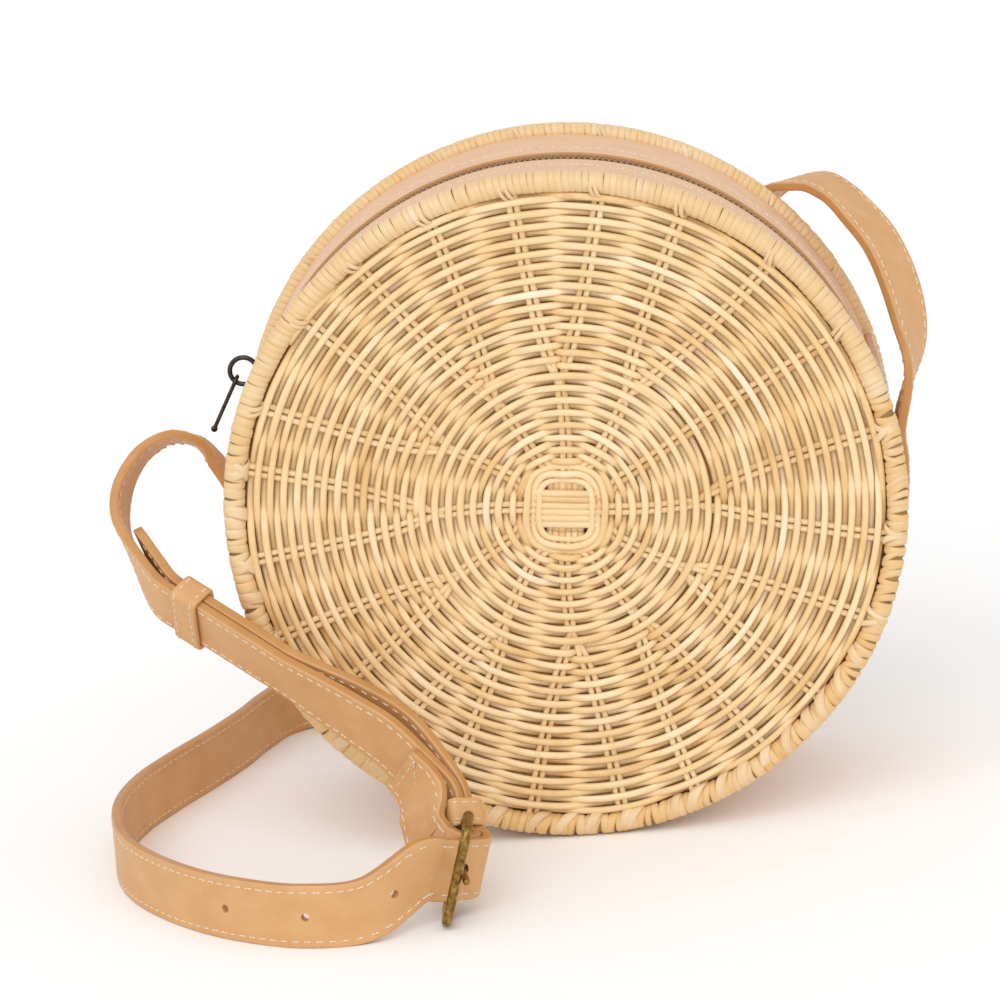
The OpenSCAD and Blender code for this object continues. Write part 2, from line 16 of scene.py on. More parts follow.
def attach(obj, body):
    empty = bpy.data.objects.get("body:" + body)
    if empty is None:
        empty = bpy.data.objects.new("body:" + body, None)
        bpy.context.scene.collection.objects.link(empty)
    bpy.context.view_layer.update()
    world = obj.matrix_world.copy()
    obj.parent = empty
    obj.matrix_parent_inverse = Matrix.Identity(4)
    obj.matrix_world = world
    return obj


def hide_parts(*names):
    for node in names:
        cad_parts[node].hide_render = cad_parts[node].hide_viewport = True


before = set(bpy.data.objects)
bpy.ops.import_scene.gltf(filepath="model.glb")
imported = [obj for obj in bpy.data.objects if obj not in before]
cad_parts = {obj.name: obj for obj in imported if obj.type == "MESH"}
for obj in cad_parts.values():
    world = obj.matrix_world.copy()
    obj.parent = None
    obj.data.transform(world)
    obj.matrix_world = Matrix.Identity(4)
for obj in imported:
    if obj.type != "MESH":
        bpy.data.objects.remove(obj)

bl_info = {
    "name": "Circle bag looks",
    "version": (1, 0, 0),
    "blender": (4, 5, 0),
    "location": "3D View > Sidebar > Circle bag",
    "description": "Builds the woven, wrapped, stitched and buckled look of the round wicker bag",
    "category": "Add Mesh",
}

# Real sizes shared with the CAD part
BAG_R = 0.108
HALF_GAP = 0.045
RIM_R = 0.1045
RIM_D = 0.007
WEAVE_OUT = 0.1013
SIDE_R = 0.103
ZIP_LEFT = 163.0
ZIP_RIGHT = 17.0
LAP_ANGLE = 6.12
LINING_Y = 0.0421

# Where each pair of stakes reaches the rim, in degrees from the right over the top
STAKE_ANGLES = np.array([
    10.3, 29.3, 47.0, 65.0, 80.0, 95.5, 110.7, 125.8, 139.4, 157.1, 168.9, 185.7,
    201.0, 215.5, 229.5, 244.0, 260.0, 276.3, 290.2, 304.6, 318.7, 335.6, 351.0,
])
BUNDLE_STEP = 30.0
CENTRE_TURN = -5.0


# Numbers

def unit(v):
    """Vectors divided by their lengths."""
    return v / np.linalg.norm(v, axis=-1, keepdims=True)


def ease(t):
    """Smooth step from 0 to 1."""
    t = np.clip(t, 0.0, 1.0)
    return t * t * (3 - 2 * t)


def waves(x, seed, low=1.0, high=9.0, count=6):
    """A sum of sines with random phases and frequencies, about -1 to 1, along x."""
    rng = np.random.default_rng(seed)
    freq = rng.uniform(low, high, count)
    phase = rng.uniform(0, 2 * np.pi, count)
    return np.sin(np.asarray(x)[..., None] * freq + phase).sum(-1) / math.sqrt(count * 2)


def around(x, seed, low=2, high=9, count=5):
    """The same sum with whole frequencies, which closes over a full turn."""
    rng = np.random.default_rng(seed)
    freq = rng.integers(low, high, count)
    phase = rng.uniform(0, 2 * np.pi, count)
    return np.sin(np.asarray(x)[..., None] * freq + phase).sum(-1) / math.sqrt(count * 2)


def disc(radius, angle, y):
    """Points at a radius and an angle (in degrees) from the disc's middle, at depth y."""
    a = np.radians(angle)
    radius, a, y = np.broadcast_arrays(radius, a, y)
    return np.stack([radius * np.cos(a), y, BAG_R + radius * np.sin(a)], -1)


# Meshes

def oval(sides):
    """Unit circle as a closed ring of points."""
    a = np.arange(sides) * 2 * np.pi / sides
    return np.stack([np.cos(a), np.sin(a)], -1)


def slab(width, thick, edge, steps=3, hold=0.0003):
    """Rectangle with quarter circles at its corners, and a holding point on each flat beside them.

    A holding point stays within 0.6 of half its flat, so that two of them never pass each other.
    """
    a = np.linspace(0, np.pi / 2, steps + 1)
    corner = np.stack([np.cos(a), np.sin(a)], -1) * edge
    x, y = width / 2 - edge, thick / 2 - edge
    rows = []
    for sx, sy, turn in ((1, 1, 0), (-1, 1, 1), (-1, -1, 2), (1, -1, 3)):
        c, s = round(math.cos(turn * math.pi / 2)), round(math.sin(turn * math.pi / 2))
        spin = corner @ np.array([[c, s], [-s, c]])
        arc = spin + [sx * x, sy * y]
        before = ((0, -1), (1, 0), (0, 1), (-1, 0))[turn]
        after = ((-1, 0), (0, -1), (1, 0), (0, 1))[turn]
        reach = np.minimum(hold, [0.6 * x, 0.6 * y])
        rows += [arc[0] + before * reach, *arc, arc[-1] + after * reach]
    ring = np.array(rows)
    keep = np.linalg.norm(ring - np.roll(ring, 1, 0), axis=1) > 1e-7
    return ring[keep]


def refined(ring, spacing):
    """A closed profile with points added evenly on its longer sides, at least a spacing apart."""
    fine = []
    for a, b in zip(ring, np.roll(ring, -1, 0)):
        n = max(1, int(np.linalg.norm(b - a) / spacing))
        fine += [a + (b - a) * k / n for k in range(n)]
    return np.array(fine)


def sweep(path, side, up, ring, scale=1.0, closed=False):
    """Surface that a ring makes when it goes along each path: point + ring x * side + ring y * up.

    path, side and up are (strands, stations, 3). Returns points, quads, end caps and the points'
    places in their strand: along it, across it and out of it.
    """
    path, side, up = (np.atleast_3d(v) if v.ndim == 3 else v[None] for v in (path, side, up))
    strands, n, m = path.shape[0], path.shape[1], len(ring)
    scale = np.broadcast_to(np.asarray(scale, float), (strands, n, 2)) if np.ndim(scale) else \
        np.full((strands, n, 2), float(scale))
    a = ring[None, None, :, 0] * scale[:, :, None, 0]
    b = ring[None, None, :, 1] * scale[:, :, None, 1]
    points = path[:, :, None] + a[..., None] * side[:, :, None] + b[..., None] * up[:, :, None]
    step = np.linalg.norm(np.diff(path, axis=1), axis=-1)
    along = np.concatenate([np.zeros((strands, 1)), np.cumsum(step, 1)], 1)
    place = np.stack(np.broadcast_arrays(along[:, :, None], a, b), -1)
    i, k = np.meshgrid(np.arange(n if closed else n - 1), np.arange(m), indexing="ij")
    after, beside = (i + 1) % n * m, (k + 1) % m
    quads = np.stack([i * m + k, i * m + beside, after + beside, after + k], -1).reshape(-1, 4)
    way = np.einsum("sni,sni->", np.cross(side, up)[:, :-1], np.diff(path, axis=1))
    if way < 0:
        quads = quads[:, ::-1]
    start = np.arange(strands)[:, None] * n * m
    quads = (quads[None] + start[:, :, None]).reshape(-1, 4)
    caps = []
    if not closed:
        first, last = np.arange(m)[::-1], np.arange(m) + (n - 1) * m
        if way < 0:
            first, last = first[::-1], last[::-1]
        caps = [c for s in start[:, 0] for c in ((first + s).tolist(), (last + s).tolist())]
    return points.reshape(-1, 3), quads, caps, place.reshape(-1, 3)


def join(*parts):
    """Several sweeps as one set of points, faces, caps, places and tones."""
    points, quads, caps, places, tones, base = [], [], [], [], [], 0
    for p, q, c, place, tone in parts:
        points.append(p)
        quads.append(q + base)
        caps += [[i + base for i in cap] for cap in c]
        places.append(place)
        tones.append(tone)
        base += len(p)
    return (np.concatenate(points), np.concatenate(quads), caps, np.concatenate(places), np.concatenate(tones))


def toned(parts, tone):
    """A sweep with one tone per strand."""
    p, q, c, place = parts
    tone = np.atleast_1d(np.asarray(tone, float))
    return p, q, c, place, np.repeat(tone, len(p) // len(tone))


def piece(name, parts, materials, body, replaced=(), slots=None):
    """Makes a mesh object from swept parts, gives it its materials and lets it ride on a CAD body.

    The attributes place and tone carry each point's place in its own strand and the strand's tone.
    slots is an optional material index for each quad.
    """
    points, quads, caps, place, tone = parts
    mesh = bpy.data.meshes.new(name)
    mesh.from_pydata(points, [], quads.tolist() + caps)
    mesh.polygons.foreach_set("use_smooth", np.ones(len(mesh.polygons), bool))
    if slots is not None:
        index = np.zeros(len(mesh.polygons), np.int32)
        index[: len(slots)] = slots
        mesh.polygons.foreach_set("material_index", index)
    mesh.attributes.new("place", "FLOAT_VECTOR", "POINT").data.foreach_set(
        "vector", place.astype(np.float32).ravel())
    mesh.attributes.new("tone", "FLOAT", "POINT").data.foreach_set("value", tone.astype(np.float32))
    for m in materials:
        mesh.materials.append(m)
    mesh.update()
    obj = bpy.data.objects.new(name, mesh)
    bpy.context.scene.collection.objects.link(obj)
    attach(obj, body)
    if replaced:
        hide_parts(*replaced)
    return obj


# Materials

def linear(code):
    """sRGB hex code as a linear colour."""
    srgb = np.array([int(code[i:i + 2], 16) for i in (0, 2, 4)]) / 255
    rgb = np.where(srgb <= 0.04045, srgb / 12.92, ((srgb + 0.055) / 1.055) ** 2.4)
    return (*rgb.tolist(), 1.0)


def add(tree, kind, sockets=None, stops=(), **settings):
    """Adds a node with its settings, and its inputs as a value or as a link from another node's output.

    A colour ramp's stops are positions with hex codes.
    """
    made = tree.nodes.new(kind)
    for key, value in settings.items():
        setattr(made, key, value)
    for key, value in (sockets or {}).items():
        if isinstance(value, bpy.types.NodeSocket):
            tree.links.new(value, made.inputs[key])
        else:
            made.inputs[key].default_value = value
    elements = made.color_ramp.elements if stops else ()
    for _ in stops[2:]:
        elements.new(0.5)
    for element, (position, code) in zip(elements, stops):
        element.position = position
        element.color = linear(code)
    return made


def surface(name):
    """New material with its node tree and shader, or the finished one of that name without them."""
    found = bpy.data.materials.get(name)
    if found:
        return found, None, None
    made = bpy.data.materials.new(name)
    made.use_nodes = True
    tree = made.node_tree
    return made, tree, tree.nodes["Principled BSDF"]


def per_mm(*sizes):
    """Scale at which a pattern takes so many millimetres along each axis."""
    return [1000.0 / size for size in sizes]


def cane(name, colours, roughness, coat=0.0):
    """Rattan, split or peeled from the vine: long fibres, and slow drifts of colour.

    The colours drift along each reed and over the bag. A strand's tone shifts its pattern, so that
    neighbours don't look alike. The fibres are drawn 0.22 mm wide, coarser than the real ones, to show.
    """
    made, tree, shader = surface(name)
    if not tree:
        return made
    place = add(tree, "ShaderNodeAttribute", attribute_name="place").outputs["Vector"]
    tone = add(tree, "ShaderNodeAttribute", attribute_name="tone").outputs["Fac"]
    along = []
    layers = ((16, 3, 3), (37.0, 11.0, 5.0), 2.0), ((9, 0.22, 0.22), (19.0, 7.0, 3.0), 3.0)
    for size, shift, detail in layers:
        spot = add(tree, "ShaderNodeMapping", {"Vector": place, "Scale": per_mm(*size)}).outputs["Vector"]
        apart = add(tree, "ShaderNodeVectorMath", {0: tone, 1: shift, 2: spot}, operation="MULTIPLY_ADD")
        along.append(add(tree, "ShaderNodeTexNoise", {
            "Vector": apart.outputs[0], "Scale": 1.0, "Detail": detail, "Roughness": 0.55}).outputs["Fac"])
    drift, fibre = along
    where = add(tree, "ShaderNodeTexCoord").outputs["Object"]
    spot = add(tree, "ShaderNodeMapping", {"Vector": where, "Scale": per_mm(28, 28, 28)}).outputs["Vector"]
    patches = add(tree, "ShaderNodeTexNoise", {
        "Vector": spot, "Scale": 1.0, "Detail": 1.0, "Roughness": 0.55}).outputs["Fac"]
    factor = -0.34
    for value, weight in ((patches, 0.36), (drift, 0.5), (fibre, 0.34), (tone, 0.5)):
        factor = add(tree, "ShaderNodeMath", {0: value, 1: weight, 2: factor},
                     operation="MULTIPLY_ADD").outputs[0]
    colour = add(tree, "ShaderNodeValToRGB", {"Fac": factor}, colours)
    tree.links.new(colour.outputs["Color"], shader.inputs["Base Color"])
    bump = add(tree, "ShaderNodeBump", {"Strength": 0.35, "Distance": 0.00012, "Height": fibre})
    tree.links.new(bump.outputs["Normal"], shader.inputs["Normal"])
    shader.inputs["Roughness"].default_value = roughness
    shader.inputs["Coat Weight"].default_value = coat
    shader.inputs["Coat Roughness"].default_value = 0.35
    return made


def leather(name, colours, grain, roughness):
    """Tanned cowhide: slow mottling from the hide, fine pebbled grain pressed into a satin finish."""
    made, tree, shader = surface(name)
    if not tree:
        return made
    place = add(tree, "ShaderNodeAttribute", attribute_name="place").outputs["Vector"]
    noises = []
    for size, detail, rough in (((11, 7, 7), 4.0, 0.55), ((grain, grain, grain), 3.0, 0.6)):
        spot = add(tree, "ShaderNodeMapping", {"Vector": place, "Scale": per_mm(*size)}).outputs["Vector"]
        noises.append(add(tree, "ShaderNodeTexNoise", {
            "Vector": spot, "Scale": 1.0, "Detail": detail, "Roughness": rough}).outputs["Fac"])
    cloud, pores = noises
    factor = 0.15
    for value, weight in ((cloud, 0.4), (pores, 0.3)):
        factor = add(tree, "ShaderNodeMath", {0: value, 1: weight, 2: factor},
                     operation="MULTIPLY_ADD").outputs[0]
    colour = add(tree, "ShaderNodeValToRGB", {"Fac": factor}, colours)
    tree.links.new(colour.outputs["Color"], shader.inputs["Base Color"])
    spot = add(tree, "ShaderNodeMapping", {"Vector": place, "Scale": per_mm(*(grain * 1.6,) * 3)})
    cells = add(tree, "ShaderNodeTexVoronoi", {"Vector": spot.outputs["Vector"], "Scale": 1.0},
                feature="SMOOTH_F1")
    height = add(tree, "ShaderNodeMath", {0: pores, 1: 0.5, 2: cells.outputs["Distance"]},
                 operation="MULTIPLY_ADD")
    bump = add(tree, "ShaderNodeBump", {"Strength": 0.22, "Distance": 0.00012, "Height": height.outputs[0]})
    tree.links.new(bump.outputs["Normal"], shader.inputs["Normal"])
    shader.inputs["Roughness"].default_value = roughness
    return made


REED = ((0.12, "ca9e5e"), (0.32, "e3bb80"), (0.5, "edcc98"), (0.68, "f4d9ae"), (0.86, "f9e6c8"))


def weaver_reed():
    """Round reed from the rattan's core, bleached and dried: matt straw colour with pale and golden lengths."""
    return cane("rattan_core_weaver", REED, 0.42)


def stake_reed():
    """The same core reed, a little thicker and paler, for the stakes."""
    colours = ((0.12, "c4955a"), (0.35, "e4bd86"), (0.6, "f0d2a2"), (0.85, "f8e2bc"))
    return cane("rattan_core_stake", colours, 0.45)


def wound_cane():
    """Split cane peeled from the vine's skin: golden, with the skin's slight gloss."""
    colours = ((0.1, "c69757"), (0.34, "e1b677"), (0.58, "e3c290"), (0.85, "ebd5b1"))
    return cane("split_rattan_skin", colours, 0.42, 0.1)


def lashing_cane():
    """Wide split cane, flesh side out: pale and dry."""
    colours = ((0.1, "c4945e"), (0.4, "dcb582"), (0.7, "e8cba2"), (0.9, "f2dec2"))
    return cane("split_rattan_flesh", colours, 0.55)


def strap_leather():
    """Vegetable-tanned cowhide in natural tan, satin and slightly pulled up."""
    return leather("tan_cowhide", ((0.2, "be8a50"), (0.5, "d29f69"), (0.8, "dfb281")), 0.5, 0.5)


def side_leather():
    """Thin pinkish tan leather of the side, with a dry embossed grain."""
    return leather("embossed_cowhide", ((0.2, "d5a87d"), (0.5, "e5ba94"), (0.8, "eecbab")), 0.6, 0.55)


def edge_paint():
    """Burnished cut edge of the leather: darker orange tan with a low gloss."""
    return leather("burnished_leather_edge", ((0.2, "a86f38"), (0.5, "c08a50"), (0.8, "cf9d63")), 0.25, 0.42)


def woven(name, size, distortion, stops, roughness, slanted=True, over_bag=False):
    """Thread or cloth: a wave across its yarns turned to colours.

    The wave follows the strand, or the bag's own coordinates with slow uneven dyeing added.
    """
    made, tree, shader = surface(name)
    if not tree:
        return made
    if over_bag:
        where = add(tree, "ShaderNodeTexCoord").outputs["Object"]
    else:
        where = add(tree, "ShaderNodeAttribute", attribute_name="place").outputs["Vector"]
    spot = add(tree, "ShaderNodeMapping", {
        "Vector": where, "Scale": per_mm(size, size, size)}).outputs["Vector"]
    value = add(tree, "ShaderNodeTexWave", {
        "Vector": spot, "Scale": 1.0, "Distortion": distortion, "Detail": 2.0},
        bands_direction="DIAGONAL" if slanted else "X").outputs["Fac"]
    if over_bag:
        spot = add(tree, "ShaderNodeMapping", {"Vector": where, "Scale": per_mm(14, 14, 14)}).outputs["Vector"]
        cloud = add(tree, "ShaderNodeTexNoise", {
            "Vector": spot, "Scale": 1.0, "Detail": 3.0, "Roughness": 0.55}).outputs["Fac"]
        value = add(tree, "ShaderNodeMath", {0: value, 1: 0.4, 2: cloud},
                    operation="MULTIPLY_ADD").outputs[0]
    colour = add(tree, "ShaderNodeValToRGB", {"Fac": value}, stops)
    tree.links.new(colour.outputs["Color"], shader.inputs["Base Color"])
    shader.inputs["Roughness"].default_value = roughness
    return made


def thread():
    """Waxed linen thread, twisted: cream with a slight sheen. The twist is drawn 2.2 mm long to show."""
    return woven("waxed_linen_thread", 2.2, 1.0, ((0.0, "d6bd9a"), (1.0, "eee0c8")), 0.6)


def lining_cloth():
    """Brown cotton twill glued behind the weave: matt, with its diagonal drawn 5 mm wide to show."""
    return woven("cotton_twill", 5.0, 1.5, ((0.2, "b08a52"), (0.8, "d6b078")), 0.9, over_bag=True)


def nylon(name, dark, light, roughness):
    """Dyed nylon of a coil zip: brown, slightly glossy where it is drawn wire."""
    return woven(name, 3.0, 2.0, ((0.1, dark), (0.9, light)), roughness, slanted=False)


def hoop_cane():
    """Bare round rattan pole bent into the hoop, hidden under the winding: brown with its skin on."""
    made, tree, shader = surface("rattan_pole")
    if tree:
        where = add(tree, "ShaderNodeTexCoord").outputs["Object"]
        spot = add(tree, "ShaderNodeMapping", {"Vector": where, "Scale": per_mm(6, 6, 6)}).outputs["Vector"]
        cloud = add(tree, "ShaderNodeTexNoise", {
            "Vector": spot, "Scale": 1.0, "Detail": 3.0, "Roughness": 0.55}).outputs["Fac"]
        colour = add(tree, "ShaderNodeValToRGB", {"Fac": cloud}, ((0.3, "7d5730"), (0.7, "b08852")))
        tree.links.new(colour.outputs["Color"], shader.inputs["Base Color"])
        shader.inputs["Roughness"].default_value = 0.6
    return made


def metal(name, colours, roughness, wear):
    """Plated zinc alloy: a worn finish, darker in the hollows and brighter where hands rub it."""
    made, tree, shader = surface(name)
    if tree:
        where = add(tree, "ShaderNodeTexCoord").outputs["Object"]
        spot = add(tree, "ShaderNodeMapping", {
            "Vector": where, "Scale": per_mm(wear, wear, wear)}).outputs["Vector"]
        cloud = add(tree, "ShaderNodeTexNoise", {
            "Vector": spot, "Scale": 1.0, "Detail": 4.0, "Roughness": 0.65}).outputs["Fac"]
        colour = add(tree, "ShaderNodeValToRGB", {"Fac": cloud}, colours)
        tree.links.new(colour.outputs["Color"], shader.inputs["Base Color"])
        shader.inputs["Metallic"].default_value = 1.0
        gloss = add(tree, "ShaderNodeMath", {0: cloud, 1: 0.3, 2: roughness - 0.15}, operation="MULTIPLY_ADD")
        tree.links.new(gloss.outputs[0], shader.inputs["Roughness"])
        bump = add(tree, "ShaderNodeBump", {"Strength": 0.15, "Distance": 0.0001, "Height": cloud})
        tree.links.new(bump.outputs["Normal"], shader.inputs["Normal"])
    return made


def dark_metal():
    """Zinc alloy with a gunmetal plating, polished."""
    return metal("gunmetal_plated_zinc", ((0.3, "2c2a28"), (0.7, "5a5652")), 0.3, 1.5)


def aged_brass():
    """Antiqued brass plating: brown in the hollows, yellow where it is rubbed."""
    return metal("antique_brass_plated_zinc", ((0.3, "5a4522"), (0.5, "8f7038"), (0.72, "c4a25c")), 0.32, 1.8)


# Weave

def centre_turn(radius):
    """Turn of the disc's middle against its rim, in degrees, which eases out with the radius."""
    return CENTRE_TURN * (1 - ease((radius - 0.012) / 0.045))


def stake_line(radius, s):
    """Angles of the 23 pairs at each radius: in 12 bundles near the middle, spread to their places at the rim.

    The spread rises as 1 - (split radius / radius) cubed, scaled to 1 at the weave's edge.
    """
    radius = np.asarray(radius, float)[..., None]
    bundle = BUNDLE_STEP * np.round(STAKE_ANGLES / BUNDLE_STEP)
    cut = np.maximum(radius, s.split_r)
    share = (1 - (s.split_r / cut) ** 3) / (1 - (s.split_r / WEAVE_OUT) ** 3)
    return bundle + centre_turn(radius) + (STAKE_ANGLES - bundle) * np.clip(share, 0, 1)


def crossing(total, lines):
    """Stakes passed by a turn of total degrees, as a smooth count that is whole at each stake."""
    count = lines.shape[-1]
    first = lines[..., 0]
    turns = np.floor((total - first) / 360)
    here = total - 360 * turns
    index = (lines <= here[..., None]).sum(-1)
    closed = np.concatenate([lines, lines[..., :1] + 360], -1)
    low = np.take_along_axis(closed, index[..., None] - 1, -1)[..., 0]
    high = np.take_along_axis(closed, index[..., None], -1)[..., 0]
    return turns * count + index - 1 + (here - low) / (high - low)


def over_under(count):
    """Height of a woven reed, -1 to 1: half a cosine wave and half a flatter one that lies on each stake."""
    c = np.cos(np.pi * count)
    return 0.45 * c + 0.55 * np.sin(0.5 * np.pi * c)


def reed_frames(points, out):
    """Side and up directions of reeds that lie in the disc: side is square to the reed and to out."""
    along = unit(np.gradient(points, axis=-2))
    side = unit(np.cross(along, out))
    return side, np.cross(side, along)


def closed_frames(points, out):
    """The same for closed reeds."""
    along = unit(np.roll(points, -1, -2) - np.roll(points, 1, -2))
    side = unit(np.cross(along, out))
    return side, np.cross(side, along)


def spiral_rows(s, face, seed):
    """The long weaver: a spiral with radius rising by one row each turn, over one pair and under the next.

    The pairs are odd in number, so each turn passes each pair on the other side than the last turn did.
    """
    start = s.split_r + 0.005
    last = WEAVE_OUT - s.weaver_d / 2 - 0.0002
    turns = (last - start) / s.outer_pitch + 0.65
    t = np.linspace(0, turns, int(turns * 250))
    total = 360 * t + 40.0
    radius = start + s.outer_pitch * (t - 0.65 * ease(t - turns + 1)) + 0.0015 * ease((t - turns) / 0.06 + 1)
    radius = radius + s.wander * waves(np.radians(total), seed, 0.6, 7.0)
    lift = over_under(crossing(total, stake_line(radius, s)))
    depth = (s.stake_d + s.weaver_d) / 2 * (0.70 + 0.07 * waves(np.radians(total), seed + 1, 1, 5))
    points = disc(radius, total, face * (HALF_GAP + depth * lift))
    side, up = reed_frames(points[None], np.array([0, face, 0.0]))
    size = s.weaver_d / 2 * (1 + 0.07 * waves(np.radians(total), seed + 2, 0.2, 1.5))
    swept = sweep(points[None], side, up, oval(8), np.stack([size * s.flatness, size / s.flatness], -1)[None])
    run = np.radians(total)
    tone = 0.5 + 0.32 * waves(run, seed + 3, 0.1, 1.1) + 0.12 * waves(run, seed + 4, 2, 6)
    return (*swept, np.repeat(np.clip(tone, 0, 1), 8))


def inner_rows(s, face, seed):
    """Rows on the 12 bundles, one ring in front of a bundle where the next is behind it.

    Nearest the middle the rings are rounded squares: radius over (|cos|^p + |sin|^p)^(1/p).
    """
    rng = np.random.default_rng(seed)
    radii = np.arange(0.0091, s.split_r + 0.0045, s.row_pitch)
    angle = np.arange(240) * 1.5
    rows = np.arange(len(radii))[:, None]
    power = 2 + 1.6 * (1 - ease((radii[:, None] - 0.008) / 0.012))
    a = np.radians(angle - CENTRE_TURN)
    shape = (np.abs(np.cos(a)) ** power + np.abs(np.sin(a)) ** power) ** (-1 / power)
    wander = np.array([around(np.radians(angle), seed + i) for i in range(len(radii))]) * s.wander
    radius = radii[:, None] * shape + wander
    count = (angle[None] - centre_turn(radius)) / BUNDLE_STEP
    lift = over_under(count + rows)
    square = rows < 3
    lift = np.where(square, 0.55 + 0.45 * np.cos(np.radians(2 * angle) + np.pi * rows), lift)
    depth = (s.stake_d + s.weaver_d) / 2 * (0.72 + 0.05 * rng.standard_normal((len(radii), 1)))
    points = disc(radius, angle[None], face * (HALF_GAP + depth * lift))
    squeeze = 1 - ease((radius - 0.008) / 0.014)
    points[..., 0] *= 1 - 0.09 * squeeze
    points[..., 2] += squeeze * (0.07 * (points[..., 2] - BAG_R) - 0.0004)
    side, up = closed_frames(points, np.array([0, face, 0.0]))
    size = s.weaver_d / 2 * (1 + 0.05 * rng.standard_normal((len(radii), 1, 1)))
    size = np.broadcast_to(size * [s.flatness, 1 / s.flatness], (len(radii), len(angle), 2))
    tone = np.clip(0.52 + 0.22 * rng.standard_normal(len(radii)), 0, 1)
    return toned(sweep(points, side, up, oval(8), size, closed=True), tone)


def beside_line(radius, aside, turn):
    """Flat points at a radius along a line from the middle, moved aside from it: X and height."""
    return np.stack([radius * np.cos(turn) - aside * np.sin(turn),
                     radius * np.sin(turn) + aside * np.cos(turn)], -1)


def stakes(s, face, seed):
    """The reeds that run out from the middle.

    A reed goes straight through the middle cross, bends into its bundle, and at the split turns to
    its own place at the rim, where a second reed lies beside it from just before the split.
    """
    rng = np.random.default_rng(seed)
    bundle = BUNDLE_STEP * np.round(STAKE_ANGLES / BUNDLE_STEP)
    half = s.stake_d / 2
    long_reeds, short_reeds, flats = [], [], []
    for b in np.unique(bundle % 360):
        ends = [i for i in range(len(STAKE_ANGLES)) if abs((bundle[i] - b) % 360) < 1]
        ends.sort(key=lambda i: (STAKE_ANGLES[i] - b + 180) % 360)
        arm = int(round((b + 30) // 90)) % 4
        slot_in_arm = int(round((b - arm * 90) / BUNDLE_STEP)) + 1
        if b - arm * 90 > 180:
            slot_in_arm = int(round((b - arm * 90 - 360) / BUNDLE_STEP)) + 1
        first = -0.0080 if arm < 2 else 0.0078
        radius = np.concatenate([np.linspace(first, 0.02, 16), np.linspace(0.022, WEAVE_OUT + 0.001, 44)])
        lines = stake_line(radius, s)
        middle = bundle[None] + centre_turn(radius)[:, None]
        spread = ease((radius - s.split_r * 0.9) / (s.split_r * 0.35))
        flats.append(1 + 0.2 * (1 - ease((radius - 0.006) / 0.008)))
        for reed in (0, 1):
            i = ends[reed] if len(ends) == 2 else ends[0]
            own = 1 if reed == 0 else -1
            lateral = half * ((2 * reed - 1) + (own - (2 * reed - 1)) * spread) if len(ends) == 2 else \
                np.full(len(radius), half * (2 * reed - 1))
            polar = np.where(radius[:, None] < s.split_r, middle[:, i:i + 1], lines[:, i:i + 1])[:, 0]
            a = np.radians(polar)
            out = beside_line(radius, lateral, a)
            row = (2 * slot_in_arm + reed - 2.5) * s.stake_d * 0.95
            t = math.radians(arm * 90 + CENTRE_TURN)
            blend = ease((radius - 0.007) / 0.013)[:, None]
            flat = beside_line(radius, row, t) * (1 - blend) + out * blend
            level = (1 if arm % 2 == 0 else -1) * half * (1 - ease((radius - 0.006) / 0.006))
            y = face * (HALF_GAP + level)
            long_reeds.append(np.stack([flat[:, 0], y, BAG_R + flat[:, 1]], -1))
            if len(ends) == 2:
                keep = np.linspace(s.split_r * 0.93, WEAVE_OUT + 0.001, 40)
                a = np.radians(stake_line(keep, s)[:, i])
                off = -own * half * ease((keep - s.split_r * 0.9) / (s.split_r * 0.35)) - own * half * 0.2
                short_reeds.append(np.stack([
                    keep * np.cos(a) - off * np.sin(a), np.full(len(keep), face * HALF_GAP),
                    BAG_R + keep * np.sin(a) + off * np.cos(a)], -1))
    parts = []
    for reeds, flat in ((long_reeds, np.repeat(flats, 2, 0)), (short_reeds, np.ones((1, 1)))):
        points = np.array(reeds)
        side, up = reed_frames(points, np.array([0, face, 0.0]))
        size = half * (0.97 + 0.04 * rng.standard_normal((len(points), 1, 1)))
        size = size * np.stack(np.broadcast_arrays(flat, 1.0), -1)
        size = np.broadcast_to(size, (len(points), points.shape[1], 2))
        tone = np.clip(0.55 + 0.2 * rng.standard_normal(len(points)), 0, 1)
        parts.append(toned(sweep(points, side, up, oval(8), size), tone))
    return join(*parts)


def rim_line(angle, face, seed):
    """Middle of the hoop at each angle: a circle with the small unevenness of bent cane."""
    a = np.radians(angle)
    return (RIM_R + 0.00022 * around(a, seed, 3, 11), face * (HALF_GAP - 0.00015 * around(a, seed + 1, 3, 9)))


def wound(angle, width, tilt, lift, tone, thick, face, seed, shift=0.0, stations=28):
    """Strips of cane round the hoop: closed turns about the hoop's line, each tilted along the rim.

    A turn's point is the hoop's middle + lift * (cos p * outward + sin p * forward), at an angle
    along the rim that is moved by tilt * cos(p - 45 degrees).
    """
    count = len(angle)
    p = np.arange(stations) * 2 * np.pi / stations
    here = angle[:, None] + np.degrees(tilt[:, None] * np.cos(p - np.pi / 4) / RIM_R)
    middle_r, middle_y = rim_line(here, face, seed)
    lift = np.broadcast_to(np.asarray(lift, float)[..., None], (count, stations))
    radius = middle_r + lift * np.cos(p) - shift * (1 + np.sin(p)) / 2
    points = disc(radius, here, middle_y + face * lift * np.sin(p))
    a = np.radians(here)
    up = np.stack([np.cos(p) * np.cos(a), face * np.sin(p) + 0 * a, np.cos(p) * np.sin(a)], -1)
    along = unit(np.roll(points, -1, 1) - np.roll(points, 1, 1))
    side = unit(np.cross(along, up))
    up = np.cross(side, along)
    size = np.stack(np.broadcast_arrays(width[:, None] / 2, thick[:, None] / 2 + np.zeros(stations)), -1)
    return toned(sweep(points, side, up, oval(8), size, closed=True), tone)


